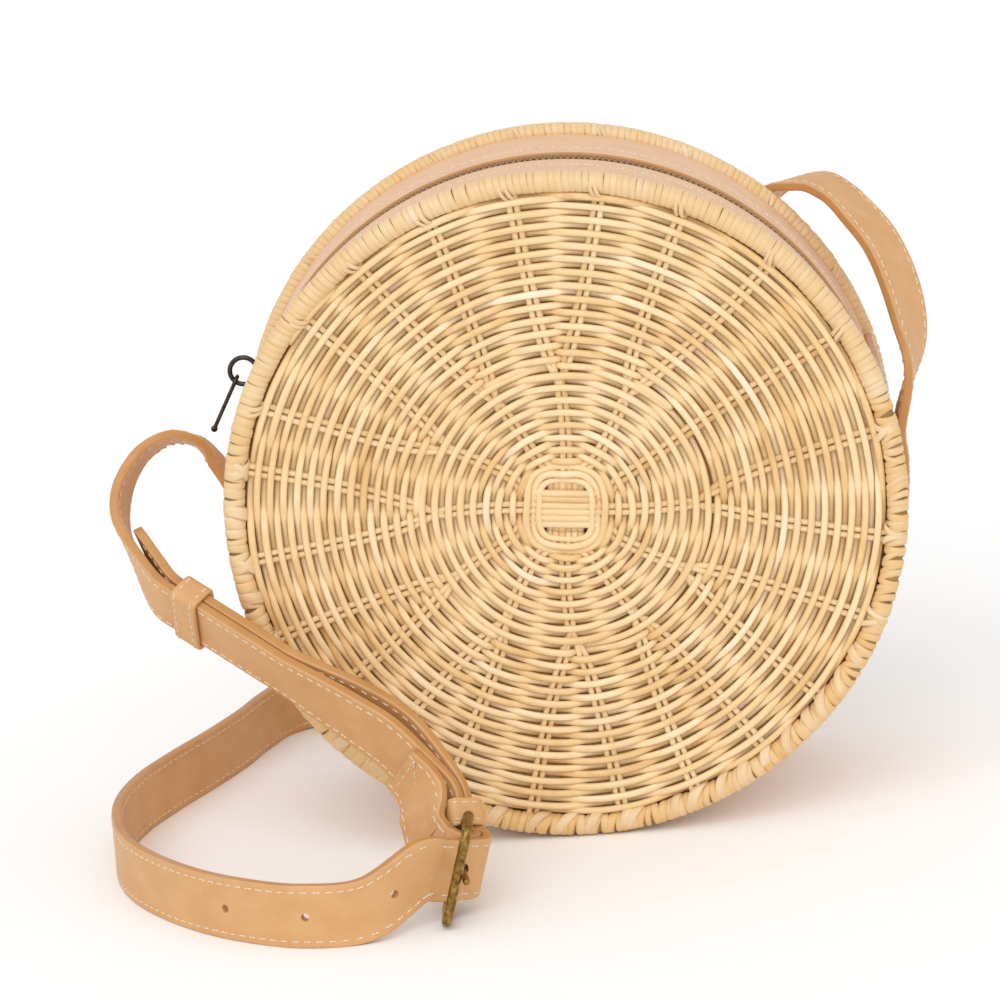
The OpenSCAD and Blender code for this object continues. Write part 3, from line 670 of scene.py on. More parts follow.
# Windings by angle, in degrees and millimetres: start, stop, then the mean and the spread of their
# width, their lean along the rim and their tone, and their thickness
WINDINGS = (
    (-35, 16, 2.2, 0.3, 0.7, 0.9, 0.38, 0.12, 1.1),
    (16, 158, 2.1, 0.15, 0.3, 0.15, 0.62, 0.05, 0.55),
    (158, 232, 3.0, 0.5, 0.0, 0.5, 0.55, 0.07, 0.8),
    (232, 325, 2.5, 0.4, -1.0, 0.7, 0.36, 0.12, 1.25),
)
# Ties by angle in the same units: start, stop, offset from the stake in degrees, spread of the
# offset, width, lean, tone, thickness and how far the tie draws in over the weave
TIES = (
    (16, 158, 0.0, 0.1, 1.5, 1.5, 0.66, 0.7, 1.6), (16, 158, 0.9, 0.1, 1.3, 1.6, 0.6, 0.7, 1.6),
    (-35, 16, -0.6, 0.2, 2.2, 2.0, 0.8, 1.0, 1.2), (-35, 16, 1.0, 0.3, 2.0, -1.4, 0.7, 1.1, 1.0),
    (158, 232, 0.0, 0.4, 3.6, 2.4, 0.8, 0.9, 1.0), (158, 232, 0.8, 0.5, 3.4, -2.2, 0.74, 1.1, 1.0),
    (158, 232, 7.2, 0.8, 4.0, -0.9, 0.7, 0.9, 0.6),
    (232, 325, 0.0, 0.8, 3.6, -2.4, 0.78, 1.4, 1.0), (232, 325, 5.2, 1.2, 3.2, -2.8, 0.72, 1.3, 0.7),
    (232, 325, 10.2, 1.0, 3.6, -1.6, 0.7, 1.4, 0.7),
)


def rim_wrap(face, seed):
    """The wound cane on one hoop: turn beside turn, fine over the top, wider and looser below."""
    rng = np.random.default_rng(seed)
    rows = []
    angle = -35.0
    while angle < 325.0:
        winding = next(w[2:] for w in WINDINGS if angle < w[1])
        width, spread, lean, lean_spread, tone, tone_spread, thick = winding
        w = rng.normal(width, spread) / 1000
        rows.append((angle + math.degrees(w / 2 / RIM_R), w * 1.15, rng.normal(lean, lean_spread) / 1000,
                     rng.normal(tone, tone_spread), thick / 1000))
        angle += math.degrees(w / RIM_R)
    angle, width, tilt, tone, thick = np.array(rows).T
    lift = RIM_D / 2 - thick / 2 + rng.normal(0, 0.00006, len(angle))
    return wound(angle, width, tilt, lift, np.clip(tone, 0, 1), thick, face, seed)


def rim_lashings(face, seed):
    """Ties at the stakes: thin and slanting over the upper rim, wide and crossing on the left and below."""
    rng = np.random.default_rng(seed)
    rows = []
    for start, stop, offset, spread, width, lean, tone, thick, draw in TIES:
        for a in STAKE_ANGLES:
            here = (a + 35) % 360 - 35
            if start <= here < stop:
                rows.append((here + offset + rng.normal(0, spread), width * rng.normal(1, 0.08) / 1000,
                             lean * rng.normal(1, 0.2) / 1000, tone + rng.normal(0, 0.07),
                             thick / 1000, draw / 1000))
    angle, width, tilt, tone, thick, draw = np.array(rows).T
    lift = RIM_D / 2 + 0.00022 - thick / 2 + rng.uniform(0, 0.00025, len(angle))
    return wound(angle, width, tilt, lift, np.clip(tone, 0, 1), thick, face, seed, draw[:, None])


def hoop_pole(face, seed):
    """The bare pole under the winding, closed round the disc."""
    angle = np.arange(240) * 1.5
    radius, y = rim_line(angle, face, seed)
    points = disc(radius, angle, y)
    side, up = closed_frames(points[None], np.array([0, face, 0.0]))
    return toned(sweep(points[None], side, up, oval(12), RIM_D / 2 - 0.0007, closed=True), 0.5)


# Side leather and zip. A middle is the radius or the depth of a profile's own middle.

BAND_W = 0.0838
BAND_T = 0.0023
BAND_MIDDLE_R = 0.1058
BAND_THREAD_R = 0.10697
BAND_THREAD_Y = 0.0355
LAP_THREAD_TURN = 1.2
STRIP_W = 0.0365
STRIP_T = 0.0016
STRIP_MIDDLE_R = 0.1038
STRIP_MIDDLE_Y = 0.02345
STRIP_PAINT_Y = -0.0165
STRIP_THREAD_R = 0.10462
STRIP_THREAD_Y = 0.0160
TAPE_W = 0.0128
TAPE_T = 0.0005
TAPE_MIDDLE_R = 0.1027
TAPE_MIDDLE_Y = 0.0070
COIL_PITCH = 0.0019
COIL_WIRE = 0.00075
COIL_MIDDLE_Y = 0.00105
COIL_REACH = 0.00135
COIL_RISE = 0.00065
COIL_HALF_T = 0.0005


def turned(ring, middle, start, stop, y=0.0, face=1):
    """A flat profile turned about the bag's middle, in steps of a degree: ring x outward, ring y along Y."""
    angle = np.linspace(start, stop, max(int(abs(stop - start)), 2) + 1)
    points = disc(middle, angle, face * y)
    a = np.radians(angle)
    side = np.stack([np.cos(a), 0 * a, np.sin(a)], -1)
    up = np.broadcast_to([0, face, 0.0], side.shape)
    return toned(sweep(points[None], side[None], up[None], ring), 0.5)


def stitch_template():
    """Short thread with drawn-in ends: a six-sided sweep along X."""
    x = np.array([-0.5, -0.36, 0.36, 0.5])
    path = np.stack([x, 0 * x, 0 * x], -1)
    side = np.broadcast_to([0, 1.0, 0], path.shape)
    up = np.broadcast_to([0, 0, 1.0], path.shape)
    size = np.array([0.35, 1, 1, 0.35])[None, :, None] * np.ones((1, 1, 2))
    return sweep(path[None], side[None], up[None], oval(6), size)


def stitches(middle, along, out, length, thick, seed):
    """Stitches at points, each along its direction and standing half out of the face."""
    p, q, c, place = stitch_template()
    rng = np.random.default_rng(seed)
    count = len(middle)
    across = unit(np.cross(out, along))
    along = unit(along + across * rng.normal(0, 0.05, (count, 1)))
    size = length * rng.normal(1, 0.05, (count, 1, 1))
    points = middle[:, None] + p[None, :, :1] * size * along[:, None] + \
        thick / 2 * (p[None, :, 1:2] * across[:, None] + p[None, :, 2:] * out[:, None])
    base = np.arange(count)[:, None, None] * len(p)
    quads = (q[None] + base).reshape(-1, 4)
    caps = [[i + k * len(p) for i in cap] for k in range(count) for cap in c]
    spot = np.broadcast_to(place, (count, *place.shape)).copy()
    spot[..., 0] = p[None, :, 0] * length + np.arange(count)[:, None] * length
    spot[..., 1:] = p[None, :, 1:] * thick / 2
    return points.reshape(-1, 3), quads, caps, spot.reshape(-1, 3), np.full(count * len(p), 0.5)


def arc_stitches(radius, y, start, stop, s, seed):
    """A row of stitches on the side, round the bag at depth y."""
    pitch = math.degrees((s.stitch_l + s.stitch_gap) / radius)
    angle = np.arange(start, stop, pitch)
    a = np.radians(angle)
    out = np.stack([np.cos(a), 0 * a, np.sin(a)], -1)
    along = np.stack([-np.sin(a), 0 * a, np.cos(a)], -1)
    return stitches(disc(radius, angle, y), along, out, s.stitch_l, s.stitch_d, seed)


def coil(start, stop, face, pitch, wire):
    """One side of the zip's coil: a flat helix along the zip, whose loops meet the other side's."""
    turns = int(math.radians(stop - start) * SIDE_R / pitch)
    t = np.linspace(0, turns, turns * 12 + 1)
    phase = 2 * np.pi * (t + (0.5 if face > 0 else 0))
    angle = start + (stop - start) * t / turns
    y = face * (COIL_MIDDLE_Y + COIL_REACH * np.cos(phase))
    radius = SIDE_R + COIL_RISE + COIL_HALF_T * np.sin(phase)
    points = disc(radius, angle, y)
    a = np.radians(angle)
    along = unit(np.gradient(points, axis=0))
    out = np.stack([np.cos(a), 0 * a, np.sin(a)], -1)
    side = unit(np.cross(along, out))
    up = np.cross(side, along)
    return toned(sweep(points[None], side[None], up[None], oval(6), wire / 2), 0.5)


# Straps

STRAP_W = 0.020
STRAP_T = 0.003
CLEAR = 0.0003
LAYER = STRAP_T + 0.0003
SEAT_R = 0.10695 + CLEAR + STRAP_T / 2
FRAME_LEAN = math.radians(16.3)
BAR_R = 0.00175
WRAP_R = BAR_R + CLEAR + STRAP_T / 2
BILLET_R = WRAP_R + STRAP_T + CLEAR + 0.00015
FRAME_L = 0.034
BAR_MID = np.array([-0.3574 * BAG_R, -2.52 * HALF_GAP,
                    FRAME_L / 2 * math.cos(FRAME_LEAN) + BAR_R * math.sin(FRAME_LEAN)])
FRAME_REACH = 0.018
PRONG_D = 0.0022
LEG_L = 0.040
FOLD_STATIONS = 36
TAIL_L = 0.168
TIP_L = 0.009
HOLE_PITCH = 0.028
HOLE_R = 0.0013
SLOT_R = 0.0021
THREAD_INSET = 0.0022
FRAME_V = np.array([0, -1.0, 0])
FRAME_W = np.array([math.sin(FRAME_LEAN), 0, math.cos(FRAME_LEAN)])
FRAME_N = np.array([math.cos(FRAME_LEAN), 0, -math.sin(FRAME_LEAN)])
MEET = 40.7
MEET_DIR = math.cos(math.radians(MEET)) * FRAME_V + math.sin(math.radians(MEET)) * FRAME_N
MEET_OUT = math.cos(math.radians(MEET)) * FRAME_N - math.sin(math.radians(MEET)) * FRAME_V
KEEPER_T = 0.0016
FIXED_BACK = 0.0155
FIXED_W = 0.009
SLIDE_W = 0.010
STRAIGHT_W = (-0.2, 1, -1.15)
STRAIGHT_A = np.array([-1.185, -0.932, 0.787])
STRAIGHT_B = np.array([-0.648, -1.775, 0.5])

# Stations of the straps: shares of the bag's radius (X, Z), of half the gap (Y) and of half the
# strap's width (added to Z), then the direction across the strap
ARCH = [
    (-1.058, 0, 1.125, 0, 0, 1, -0.1), (-1.108, -0.044, 1.182, 0, 0, 1, -0.3),
    (-1.185, -0.11, 1.202, 0, 0, 1, -0.33), (-1.267, -0.2, 1.162, 0, 0.05, 1, -0.33),
    (-1.322, -0.31, 1.076, 0, 0.1, 1, -0.32), (-1.33, -0.444, 0.983, 0, 0.05, 1, -0.45),
    (-1.283, -0.644, 0.889, 0, -0.05, 1, -0.75),
]
LOWER = (-0.528, -1.935, 0.42, 0, -0.35, 0.9, -2.6)
OVER = [
    (1.042, 0.05, 1.235, 0, 0.12, 0.99, -0.03), (1.05, 0.2, 1.36, 0, 0.45, 0.88, -0.1),
    (1.034, 0.4, 1.474, 0, 0.5, 0.85, 0), (0.996, 0.6, 1.577, 0, 0.45, 0.85, 0.05),
    (0.939, 0.8, 1.658, 0, 0.4, 0.9, 0.1), (0.868, 1, 1.725, 0, 0.2, 1, 0.12),
    (0.787, 1.2, 1.75, 0, 0.1, 1, 0), (0.68, 1.39, 1.715, 0, 0, 1, -0.35),
    (0.555, 1.56, 1.6, 0, 0, 1, -0.8), (0.42, 1.71, 1.4, 0, -0.1, 0.8, -1),
    (0.27, 1.84, 1.15, 0, -0.3, 0.5, -1), (0.08, 1.96, 0.88, 0, -0.5, 0.3, -1),
    (-0.13, 2.09, 0.62, 0, -0.5, 0.15, -1), (-0.36, 2.22, 0.38, 0, -0.45, 0.05, -1),
    (-0.58, 2.28, 0.16, 0.6, -0.3, 0, -1), (-0.79, 2.22, 0.03, 0.97, -0.1, 0, -1),
]
FLOOR = [
    (-0.963, 2.04), (-1.042, 1.644), (-1.102, 1.2), (-1.185, 0.711), (-1.278, 0.222), (-1.356, -0.267),
    (-1.394, -0.778), (-1.384, -1.289), (-1.329, -1.778), (-1.231, -2.2), (-1.102, -2.578),
    (-0.954, -2.867), (-0.787, -3.056),
]
FLOOR_END = (-0.611, -3.044, 0.005, 1.02, 0, 0, -1)


def round_bar(angle, radius):
    """Points round the buckle's bar, counted from the rail's side to the outer side."""
    a = np.radians(angle)
    return BAR_MID + radius * (np.multiply.outer(np.cos(a), FRAME_V) + np.multiply.outer(np.sin(a), FRAME_N))


def station(row):
    """Six numbers of a station: its middle and the direction across."""
    x, y, z, up, *across = row
    return (x * BAG_R, y * HALF_GAP, z * BAG_R + up * STRAP_W / 2, *across)


def seated(angle):
    """A station on the side band."""
    a = math.radians(angle)
    return (SEAT_R * math.cos(a), 0, BAG_R + SEAT_R * math.sin(a), 0, 1, 0)


def straight(t, across=STRAIGHT_W):
    """A station on the strap's straight part."""
    x, y, z = STRAIGHT_A + t * (STRAIGHT_B - STRAIGHT_A)
    return (x * BAG_R, y * HALF_GAP, z * BAG_R, *across)


def before_bar(back, up):
    """A station before the bar, in turns of the fold's radius back and bar radii up."""
    return (*(BAR_MID + WRAP_R * (MEET_OUT - back * MEET_DIR) + up * BAR_R * FRAME_W), *-FRAME_W)


def curve(rows, steps):
    """Catmull-Rom curve through rows: each stretch is the cubic of its four nearest rows."""
    r = np.array(rows, float)
    r = np.concatenate([[2 * r[0] - r[1]], r, [2 * r[-1] - r[-2]]])
    t = (np.arange(steps) / steps)[:, None]
    p0, p1, p2, p3 = (r[k:len(r) - 3 + k][:, None] for k in range(4))
    square, cube = 2 * p0 - 5 * p1 + 4 * p2 - p3, 3 * p1 - p0 - 3 * p2 + p3
    out = 0.5 * (2 * p1 + (p2 - p0) * t + square * t ** 2 + cube * t ** 3)
    return np.concatenate([out.reshape(-1, r.shape[1]), r[-2:-1]])


def frames_of(rows):
    """Square frames along a curve: middle, along, across and out of the face."""
    mid = rows[:, :3]
    ends = np.concatenate([mid[:1], mid, mid[-1:]])
    along = unit(ends[2:] - ends[:-2])
    across = rows[:, 3:]
    across = unit(across - (across * along).sum(1, keepdims=True) * along)
    return np.stack([mid, along, across, np.cross(along, across)], 1)


def length_back(f):
    """Length along frames from each one to the last."""
    step = np.linalg.norm(np.diff(f[:, 0], axis=0), axis=1)
    return np.concatenate([np.cumsum(step[::-1])[::-1], [0]])


def frame_back(f, length):
    """The frame at a length before the last one."""
    s = length_back(f)[::-1]
    row = np.array([np.interp(length, s, f[::-1].reshape(len(f), 12)[:, k]) for k in range(12)]).reshape(4, 3)
    row[1:] = unit(row[1:])
    return row


def main_frames(steps=9):
    """The main strap from its seat on the left, over the arch and down the straight part to the bar."""
    rows = [seated(a) for a in (192, 187, 182, 178)] + [station(r) for r in ARCH]
    rows += [straight(t) for t in (-0.06, 0.12, 0.3, 0.48, 0.66)]
    rows += [straight(0.84, (-0.26, 1, -1.6)), straight(1, (-0.3, 1, -2)), station(LOWER)]
    rows += [before_bar(*b) for b in ((5.9, 7), (3.4, 2.05), (2.25, 0.7), (1.1, 0), (0, 0))]
    return frames_of(curve(rows, steps))


def fold_and_leg(main):
    """Half a turn round the bar, and the leg that goes back along the strap past the fixed keeper."""
    angles = MEET + 90 - 180 * np.arange(1, FOLD_STATIONS + 1) / FOLD_STATIONS
    mid = round_bar(angles, WRAP_R)
    out = unit(mid - BAR_MID)
    along = unit(round_bar(angles - 90, 1.0) - BAR_MID)
    across = np.broadcast_to(-FRAME_W, out.shape)
    fold = np.stack([mid, along, across, out], 1)
    s = length_back(main)
    room = 2 * WRAP_R + CLEAR
    pick = np.flatnonzero((s <= LEG_L) & (s > 0.001))[::-1]
    near = ease(s / (FIXED_BACK - FIXED_W / 2))
    far = ease((s - FIXED_BACK - FIXED_W / 2 - CLEAR) / 0.012)
    away = 2 * WRAP_R + CLEAR * near + (LAYER - room) * far
    f = main[pick]
    leg = np.stack([f[:, 0] - away[pick, None] * f[:, 3], -f[:, 1], f[:, 2], -f[:, 3]], 1)
    return np.concatenate([fold, leg])


def billet_frames(main, steps=9):
    """The billet from its seat on the right, behind the bag, over the floor, through the buckle and back.

    The tail bows away from the main strap by a squared sine and lifts at its end.
    """
    rows = [seated(a) for a in (-12, -6, 0, 5)] + [station(r) for r in OVER]
    rows += [station((x, y, 0, 1, 0, 0, -1)) for x, y in FLOOR] + [station(FLOOR_END)]
    rows += [
        (*(round_bar(-39, 2.52 * BILLET_R) - BAR_R * FRAME_W), -0.12, 0, -1),
        (*(round_bar(-26, 1.62 * BILLET_R) - 0.6 * BAR_R * FRAME_W), -0.2, 0, -1),
        (*(round_bar(6, 1.1 * BILLET_R) - 0.3 * BAR_R * FRAME_W), *-FRAME_W),
    ]
    first = frames_of(curve(rows, steps))
    angles = np.arange(24, MEET + 90, 6)
    mid = round_bar(angles, BILLET_R)
    out = -unit(mid - BAR_MID)
    along = unit(round_bar(angles + 90, 1.0) - BAR_MID)
    turn = np.stack([mid, along, np.broadcast_to(-FRAME_W, out.shape), out], 1)
    s = length_back(main)
    pick = np.flatnonzero(s <= TAIL_L)[::-1]
    bow = np.where((s > 0.012) & (s < 0.092), 0.0036 * np.sin(np.pi * (s - 0.012) / 0.080) ** 2, 0)
    lift = 0.0015 * ease((s - 0.128) / 0.022)
    away = LAYER + (BILLET_R - WRAP_R - LAYER) * np.maximum(0, 1 - s / 0.012) + bow + lift
    f = main[pick]
    tail = np.stack([f[:, 0] + away[pick, None] * f[:, 3], -f[:, 1], f[:, 2], -f[:, 3]], 1)
    return np.concatenate([first, turn, tail]), len(first)


def strap_parts(f, tip=0.0):
    """A strap swept along its frames, its end drawn in to a round tip."""
    ring = slab(STRAP_W, STRAP_T, 0.0007)
    width = np.ones(len(f))
    if tip:
        left = length_back(f)
        width = np.where(left < tip, 0.45 + 0.55 * np.sqrt(1 - (1 - np.minimum(left / tip, 1)) ** 2), 1.0)
    scale = np.stack([width, np.ones(len(f))], -1)[None]
    swept = sweep(f[None, :, 0], f[None, :, 2], f[None, :, 3], ring, scale)
    edge = np.abs(ring[:, 1]) < STRAP_T / 2 - 0.0001
    both = edge & np.roll(edge, -1)
    slots = np.tile(both.astype(np.int32), len(f) - 1)
    return toned(swept, 0.5), slots


def row_frames(f, spacing, start, stop):
    """Frames at even spacing along a strap, between two lengths from its start."""
    step = np.linalg.norm(np.diff(f[:, 0], axis=0), axis=1)
    s = np.concatenate([[0], np.cumsum(step)])
    at = np.arange(start, (s[-1] if stop is None else stop), spacing)
    flat = f.reshape(len(f), 12)
    rows = np.stack([np.interp(at, s, flat[:, k]) for k in range(12)], -1).reshape(-1, 4, 3)
    rows[:, 1:] = unit(rows[:, 1:])
    return rows


def strap_stitches(f, s, seed, start=0.004, stop=None):
    """Rows of stitches near both edges, on both faces."""
    rows = row_frames(f, s.stitch_l + s.stitch_gap, start, stop)
    parts = []
    for k, (edge, face) in enumerate(((-1, -1), (-1, 1), (1, -1), (1, 1))):
        middle = rows[:, 0] + edge * (STRAP_W / 2 - THREAD_INSET) * rows[:, 2]
        middle += face * (STRAP_T / 2 + 0.00002) * rows[:, 3]
        parts.append(stitches(middle, rows[:, 1], face * rows[:, 3], s.stitch_l, s.stitch_d, seed + k))
    return join(*parts)


def box_stitches(f, s, seed):
    """Two rows across the end of the fold's leg and a slanted one between, flat in the end's frame."""
    half, near, far = STRAP_W / 2 - THREAD_INSET, -0.0025, -0.0135
    lines = ((near, -half), (near, half)), ((far, -half), (far, half)), ((near, -half), (far, half))
    rows = []
    for k, (a, b) in enumerate(lines):
        a, b = np.array(a), np.array(b)
        way = unit(b - a)
        steps = np.arange(0.001, np.linalg.norm(b - a), s.stitch_l + s.stitch_gap)[:, None]
        flat = a + steps * way
        middle = f[0] + flat[:, :1] * f[1] + flat[:, 1:] * f[2] + (STRAP_T / 2 + 0.0001) * f[3]
        along = np.broadcast_to(way[0] * f[1] + way[1] * f[2], middle.shape)
        out = np.broadcast_to(f[3], middle.shape)
        rows.append(stitches(middle, along, out, s.stitch_l, s.stitch_d, seed + k))
    return join(*rows)


def cylinder_at(start, direction, radius, length, sides=24):
    """A closed round bar from a point along a direction."""
    d = unit(np.array(direction, float))
    other = np.array([0, 0, 1.0]) if abs(d[2]) < 0.9 else np.array([1.0, 0, 0])
    side = unit(np.cross(d, other))
    up = np.cross(d, side)
    path = np.array([start, np.array(start) + d * length])
    return toned(sweep(path[None], np.broadcast_to(side, (1, 2, 3)), np.broadcast_to(up, (1, 2, 3)),
                       oval(sides), radius), 0.5)


def cut(obj, cutters, spots):
    """Cuts solids out of a strap, keeps the result as its mesh and lays the places out anew beside each cut."""
    scratch = []
    for parts in cutters:
        mesh = bpy.data.meshes.new("cutter")
        mesh.from_pydata(parts[0], [], parts[1].tolist() + parts[2])
        tool = bpy.data.objects.new("cutter", mesh)
        bpy.context.scene.collection.objects.link(tool)
        m = obj.modifiers.new("cut", "BOOLEAN")
        m.object, m.operation, m.solver = tool, "DIFFERENCE", "EXACT"
        scratch.append(tool)
    bpy.context.view_layer.update()
    fresh = bpy.data.meshes.new_from_object(obj.evaluated_get(bpy.context.evaluated_depsgraph_get()))
    obj.modifiers.clear()
    obj.data = fresh
    fresh.set_sharp_from_angle(angle=math.radians(40))
    points = np.empty(len(fresh.vertices) * 3, np.float32)
    fresh.vertices.foreach_get("co", points)
    places = np.empty_like(points)
    data = fresh.attributes["place"].data
    data.foreach_get("vector", places)
    points, places = points.reshape(-1, 3), places.reshape(-1, 3)
    for f, run in spots:
        away = points - f[0]
        near = np.linalg.norm(away, axis=1) < 0.009
        places[near] = away[near] @ f[1:].T + [run, 0, 0]
    data.foreach_set("vector", places.ravel())
    for tool in scratch:
        bpy.data.objects.remove(tool)


def keeper_parts(f, width, fit, side_fit, s, seed):
    """A loop of leather round two strap layers: a band swept round a rounded rectangle, and its stitches."""
    centre = f[0] + LAYER / 2 * f[3]
    half_w = STRAP_W / 2 + side_fit + KEEPER_T / 2
    half_t = (LAYER + STRAP_T) / 2 + fit + KEEPER_T / 2
    ring = slab(2 * half_w, 2 * half_t, KEEPER_T * 1.1, 5, 0.001)
    fine = refined(ring, 0.0015)
    points = centre + fine[:, :1] * f[2] + fine[:, 1:] * f[3]
    along = unit(np.roll(points, -1, 0) - np.roll(points, 1, 0))
    side = np.broadcast_to(f[1], points.shape)
    out = np.cross(side, along)
    out = out * np.sign(((points - centre) * out).sum(1).mean())
    body = toned(sweep(points[None], side[None], out[None], slab(width, KEEPER_T, 0.0006), closed=True), 0.5)
    step = np.linalg.norm(np.diff(points, axis=0), axis=1)
    length = np.concatenate([[0], np.cumsum(step)])
    at = np.arange(0.002, length[-1], s.stitch_l * 0.85 + s.stitch_gap)
    mid, way, face = (np.stack([np.interp(at, length, v[:, k]) for k in range(3)], -1)
                      for v in (points, along, out))
    rows = [stitches(mid + e * (width / 2 - 0.0017) * f[1] + (KEEPER_T / 2 + 0.00002) * unit(face), unit(way),
                     unit(face), s.stitch_l * 0.85, s.stitch_d, seed + e) for e in (-1, 1)]
    return body, join(*rows)


# Settings

def size(name, text, default):
    """A length in metres."""
    return FloatProperty(name=name, description=text, default=default, min=0.00001, max=1.0, unit="LENGTH",
                         subtype="DISTANCE", precision=5)


class BasketSettings(PropertyGroup):
    stake_d: size("Stake thickness", "Thickness of the reeds that run out from the middle", 0.0021)
    weaver_d: size("Weaver thickness", "Thickness of the reed woven in rows", 0.0020)
    row_pitch: size("Row spacing", "Distance between woven rows near the middle", 0.0020)
    outer_pitch: size("Outer row spacing", "Distance between woven rows outside the split", 0.00211)
    split_r: size("Split radius", "Radius where the 12 bundles split into pairs of stakes", 0.041)
    flatness: FloatProperty(name="Flatness", description="How much wider and thinner the pressed reed is",
                            default=1.15, min=1.0)
    wander: size("Wander", "How far a row strays from its own circle", 0.00018)
    seed: IntProperty(name="Seed", description="Start of the random unevenness", default=7, min=0)


class StitchSettings(PropertyGroup):
    stitch_l: size("Stitch length", "Length of one stitch", 0.0025)
    stitch_gap: size("Stitch gap", "Gap between two stitches", 0.0012)
    stitch_d: size("Thread thickness", "Thickness of the thread", 0.00048)


class StageSettings(PropertyGroup):
    key_power: FloatProperty(name="Key light", description="Strength of the large soft light from above",
                             default=0.95, min=0.0)
    fill_power: FloatProperty(name="Fill light", description="Strength of the low light from the right",
                              default=0.29, min=0.0)
    sky: FloatProperty(name="Sky", description="Strength of the even white surroundings",
                       default=0.83, min=0.0)


class CircleBagSettings(PropertyGroup):
    basket: PointerProperty(type=BasketSettings)
    stitch: PointerProperty(type=StitchSettings)
    stage: PointerProperty(type=StageSettings)


# Operators

FACES = (("front", -1), ("back", 1))
ZIP_SIDES = (("front", -1), ("rear", 1))


class CIRCLEBAG_OT_stage(Operator):
    """Pale floor, soft light, white surroundings and the camera at the photo's angle"""
    bl_idname = "circle_bag.stage"
    bl_label = "Stage"

    def execute(self, context):
        s = context.scene.circle_bag.stage
        scene = context.scene
        scene.view_settings.view_transform = "Standard"
        mesh = bpy.data.meshes.new("floor")
        mesh.from_pydata([(-6, -6, 0), (6, -6, 0), (6, 9, 0), (-6, 9, 0)], [], [(0, 1, 2, 3)])
        floor = bpy.data.objects.new("floor", mesh)
        scene.collection.objects.link(floor)
        made, tree, shader = surface("studio_floor")
        shader.inputs["Base Color"].default_value = linear("ffffff")
        shader.inputs["Roughness"].default_value = 0.9
        shader.inputs["Specular IOR Level"].default_value = 0.1
        mesh.materials.append(made)
        world = bpy.data.worlds.new("studio")
        scene.world = world
        world.use_nodes = True
        tree = world.node_tree
        tree.nodes.clear()
        rays = add(tree, "ShaderNodeLightPath")
        seen = add(tree, "ShaderNodeMath", {0: rays.outputs["Is Camera Ray"], 1: 1 - s.sky, 2: s.sky},
                   operation="MULTIPLY_ADD")
        glow = add(tree, "ShaderNodeBackground", {"Color": (1, 1, 1, 1), "Strength": seen.outputs[0]})
        add(tree, "ShaderNodeOutputWorld", {"Surface": glow.outputs["Background"]})
        for name, spot, spread, power in (("key", (-0.7, -2.5, 2.2), 50, s.key_power),
                                          ("fill", (1.2, -2.2, 0.45), 70, s.fill_power)):
            lamp = bpy.data.lights.new(name, "SUN")
            lamp.energy, lamp.angle = power, math.radians(spread)
            obj = bpy.data.objects.new(name, lamp)
            obj.rotation_euler = (-Vector(spot)).to_track_quat("-Z", "Y").to_euler()
            scene.collection.objects.link(obj)
        eye, target = Vector((0.0424, -1.4842, 0.4667)), Vector((-0.02238, 0, 0.10097))
        roll = math.radians(-4.44)
        forward = (target - eye).normalized()
        right = forward.cross(Vector((0, 0, 1))).normalized()
        up = right.cross(forward)
        right, up = right * math.cos(roll) + up * math.sin(roll), up * math.cos(roll) - right * math.sin(roll)
        data = bpy.data.cameras.new("camera")
        data.sensor_width, data.lens = 36.0, 169.6
        data.clip_start, data.clip_end = 0.05, 50.0
        camera = bpy.data.objects.new("camera", data)
        camera.matrix_world = Matrix.Translation(eye) @ Matrix((right, up, -forward)).transposed().to_4x4()
        scene.collection.objects.link(camera)
        scene.camera = camera
        return {"FINISHED"}


class CIRCLEBAG_OT_discs(Operator):
    """Stakes, woven rows and middle of both discs"""
    bl_idname = "circle_bag.discs"
    bl_label = "Woven discs"

    def execute(self, context):
        s = context.scene.circle_bag.basket
        for name, face in FACES:
            seed = s.seed + 100 * (face > 0)
            piece(name + "_reed_stakes", stakes(s, face, seed), [stake_reed()], "bag",
                  (name + "_stakes", name + "_centre"))
            piece(name + "_woven_rows", spiral_rows(s, face, seed + 10), [weaver_reed()], "bag",
                  (name + "_weavers",))
            piece(name + "_inner_rows", inner_rows(s, face, seed + 20), [weaver_reed()], "bag", ())
        return {"FINISHED"}


class CIRCLEBAG_OT_rims(Operator):
    """Wound cane and lashings of both rims"""
    bl_idname = "circle_bag.rims"
    bl_label = "Rims"

    def execute(self, context):
        seed = context.scene.circle_bag.basket.seed
        for name, face in FACES:
            piece(name + "_wound_cane", rim_wrap(face, seed + 30 + face), [wound_cane()], "bag",
                  (name + "_wrap",))
            piece(name + "_ties", rim_lashings(face, seed + 30 + face), [lashing_cane()], "bag",
                  (name + "_lashings",))
            piece(name + "_hoop_pole", hoop_pole(face, seed + 30 + face), [hoop_cane()], "bag",
                  (name + "_hoop",))
        return {"FINISHED"}


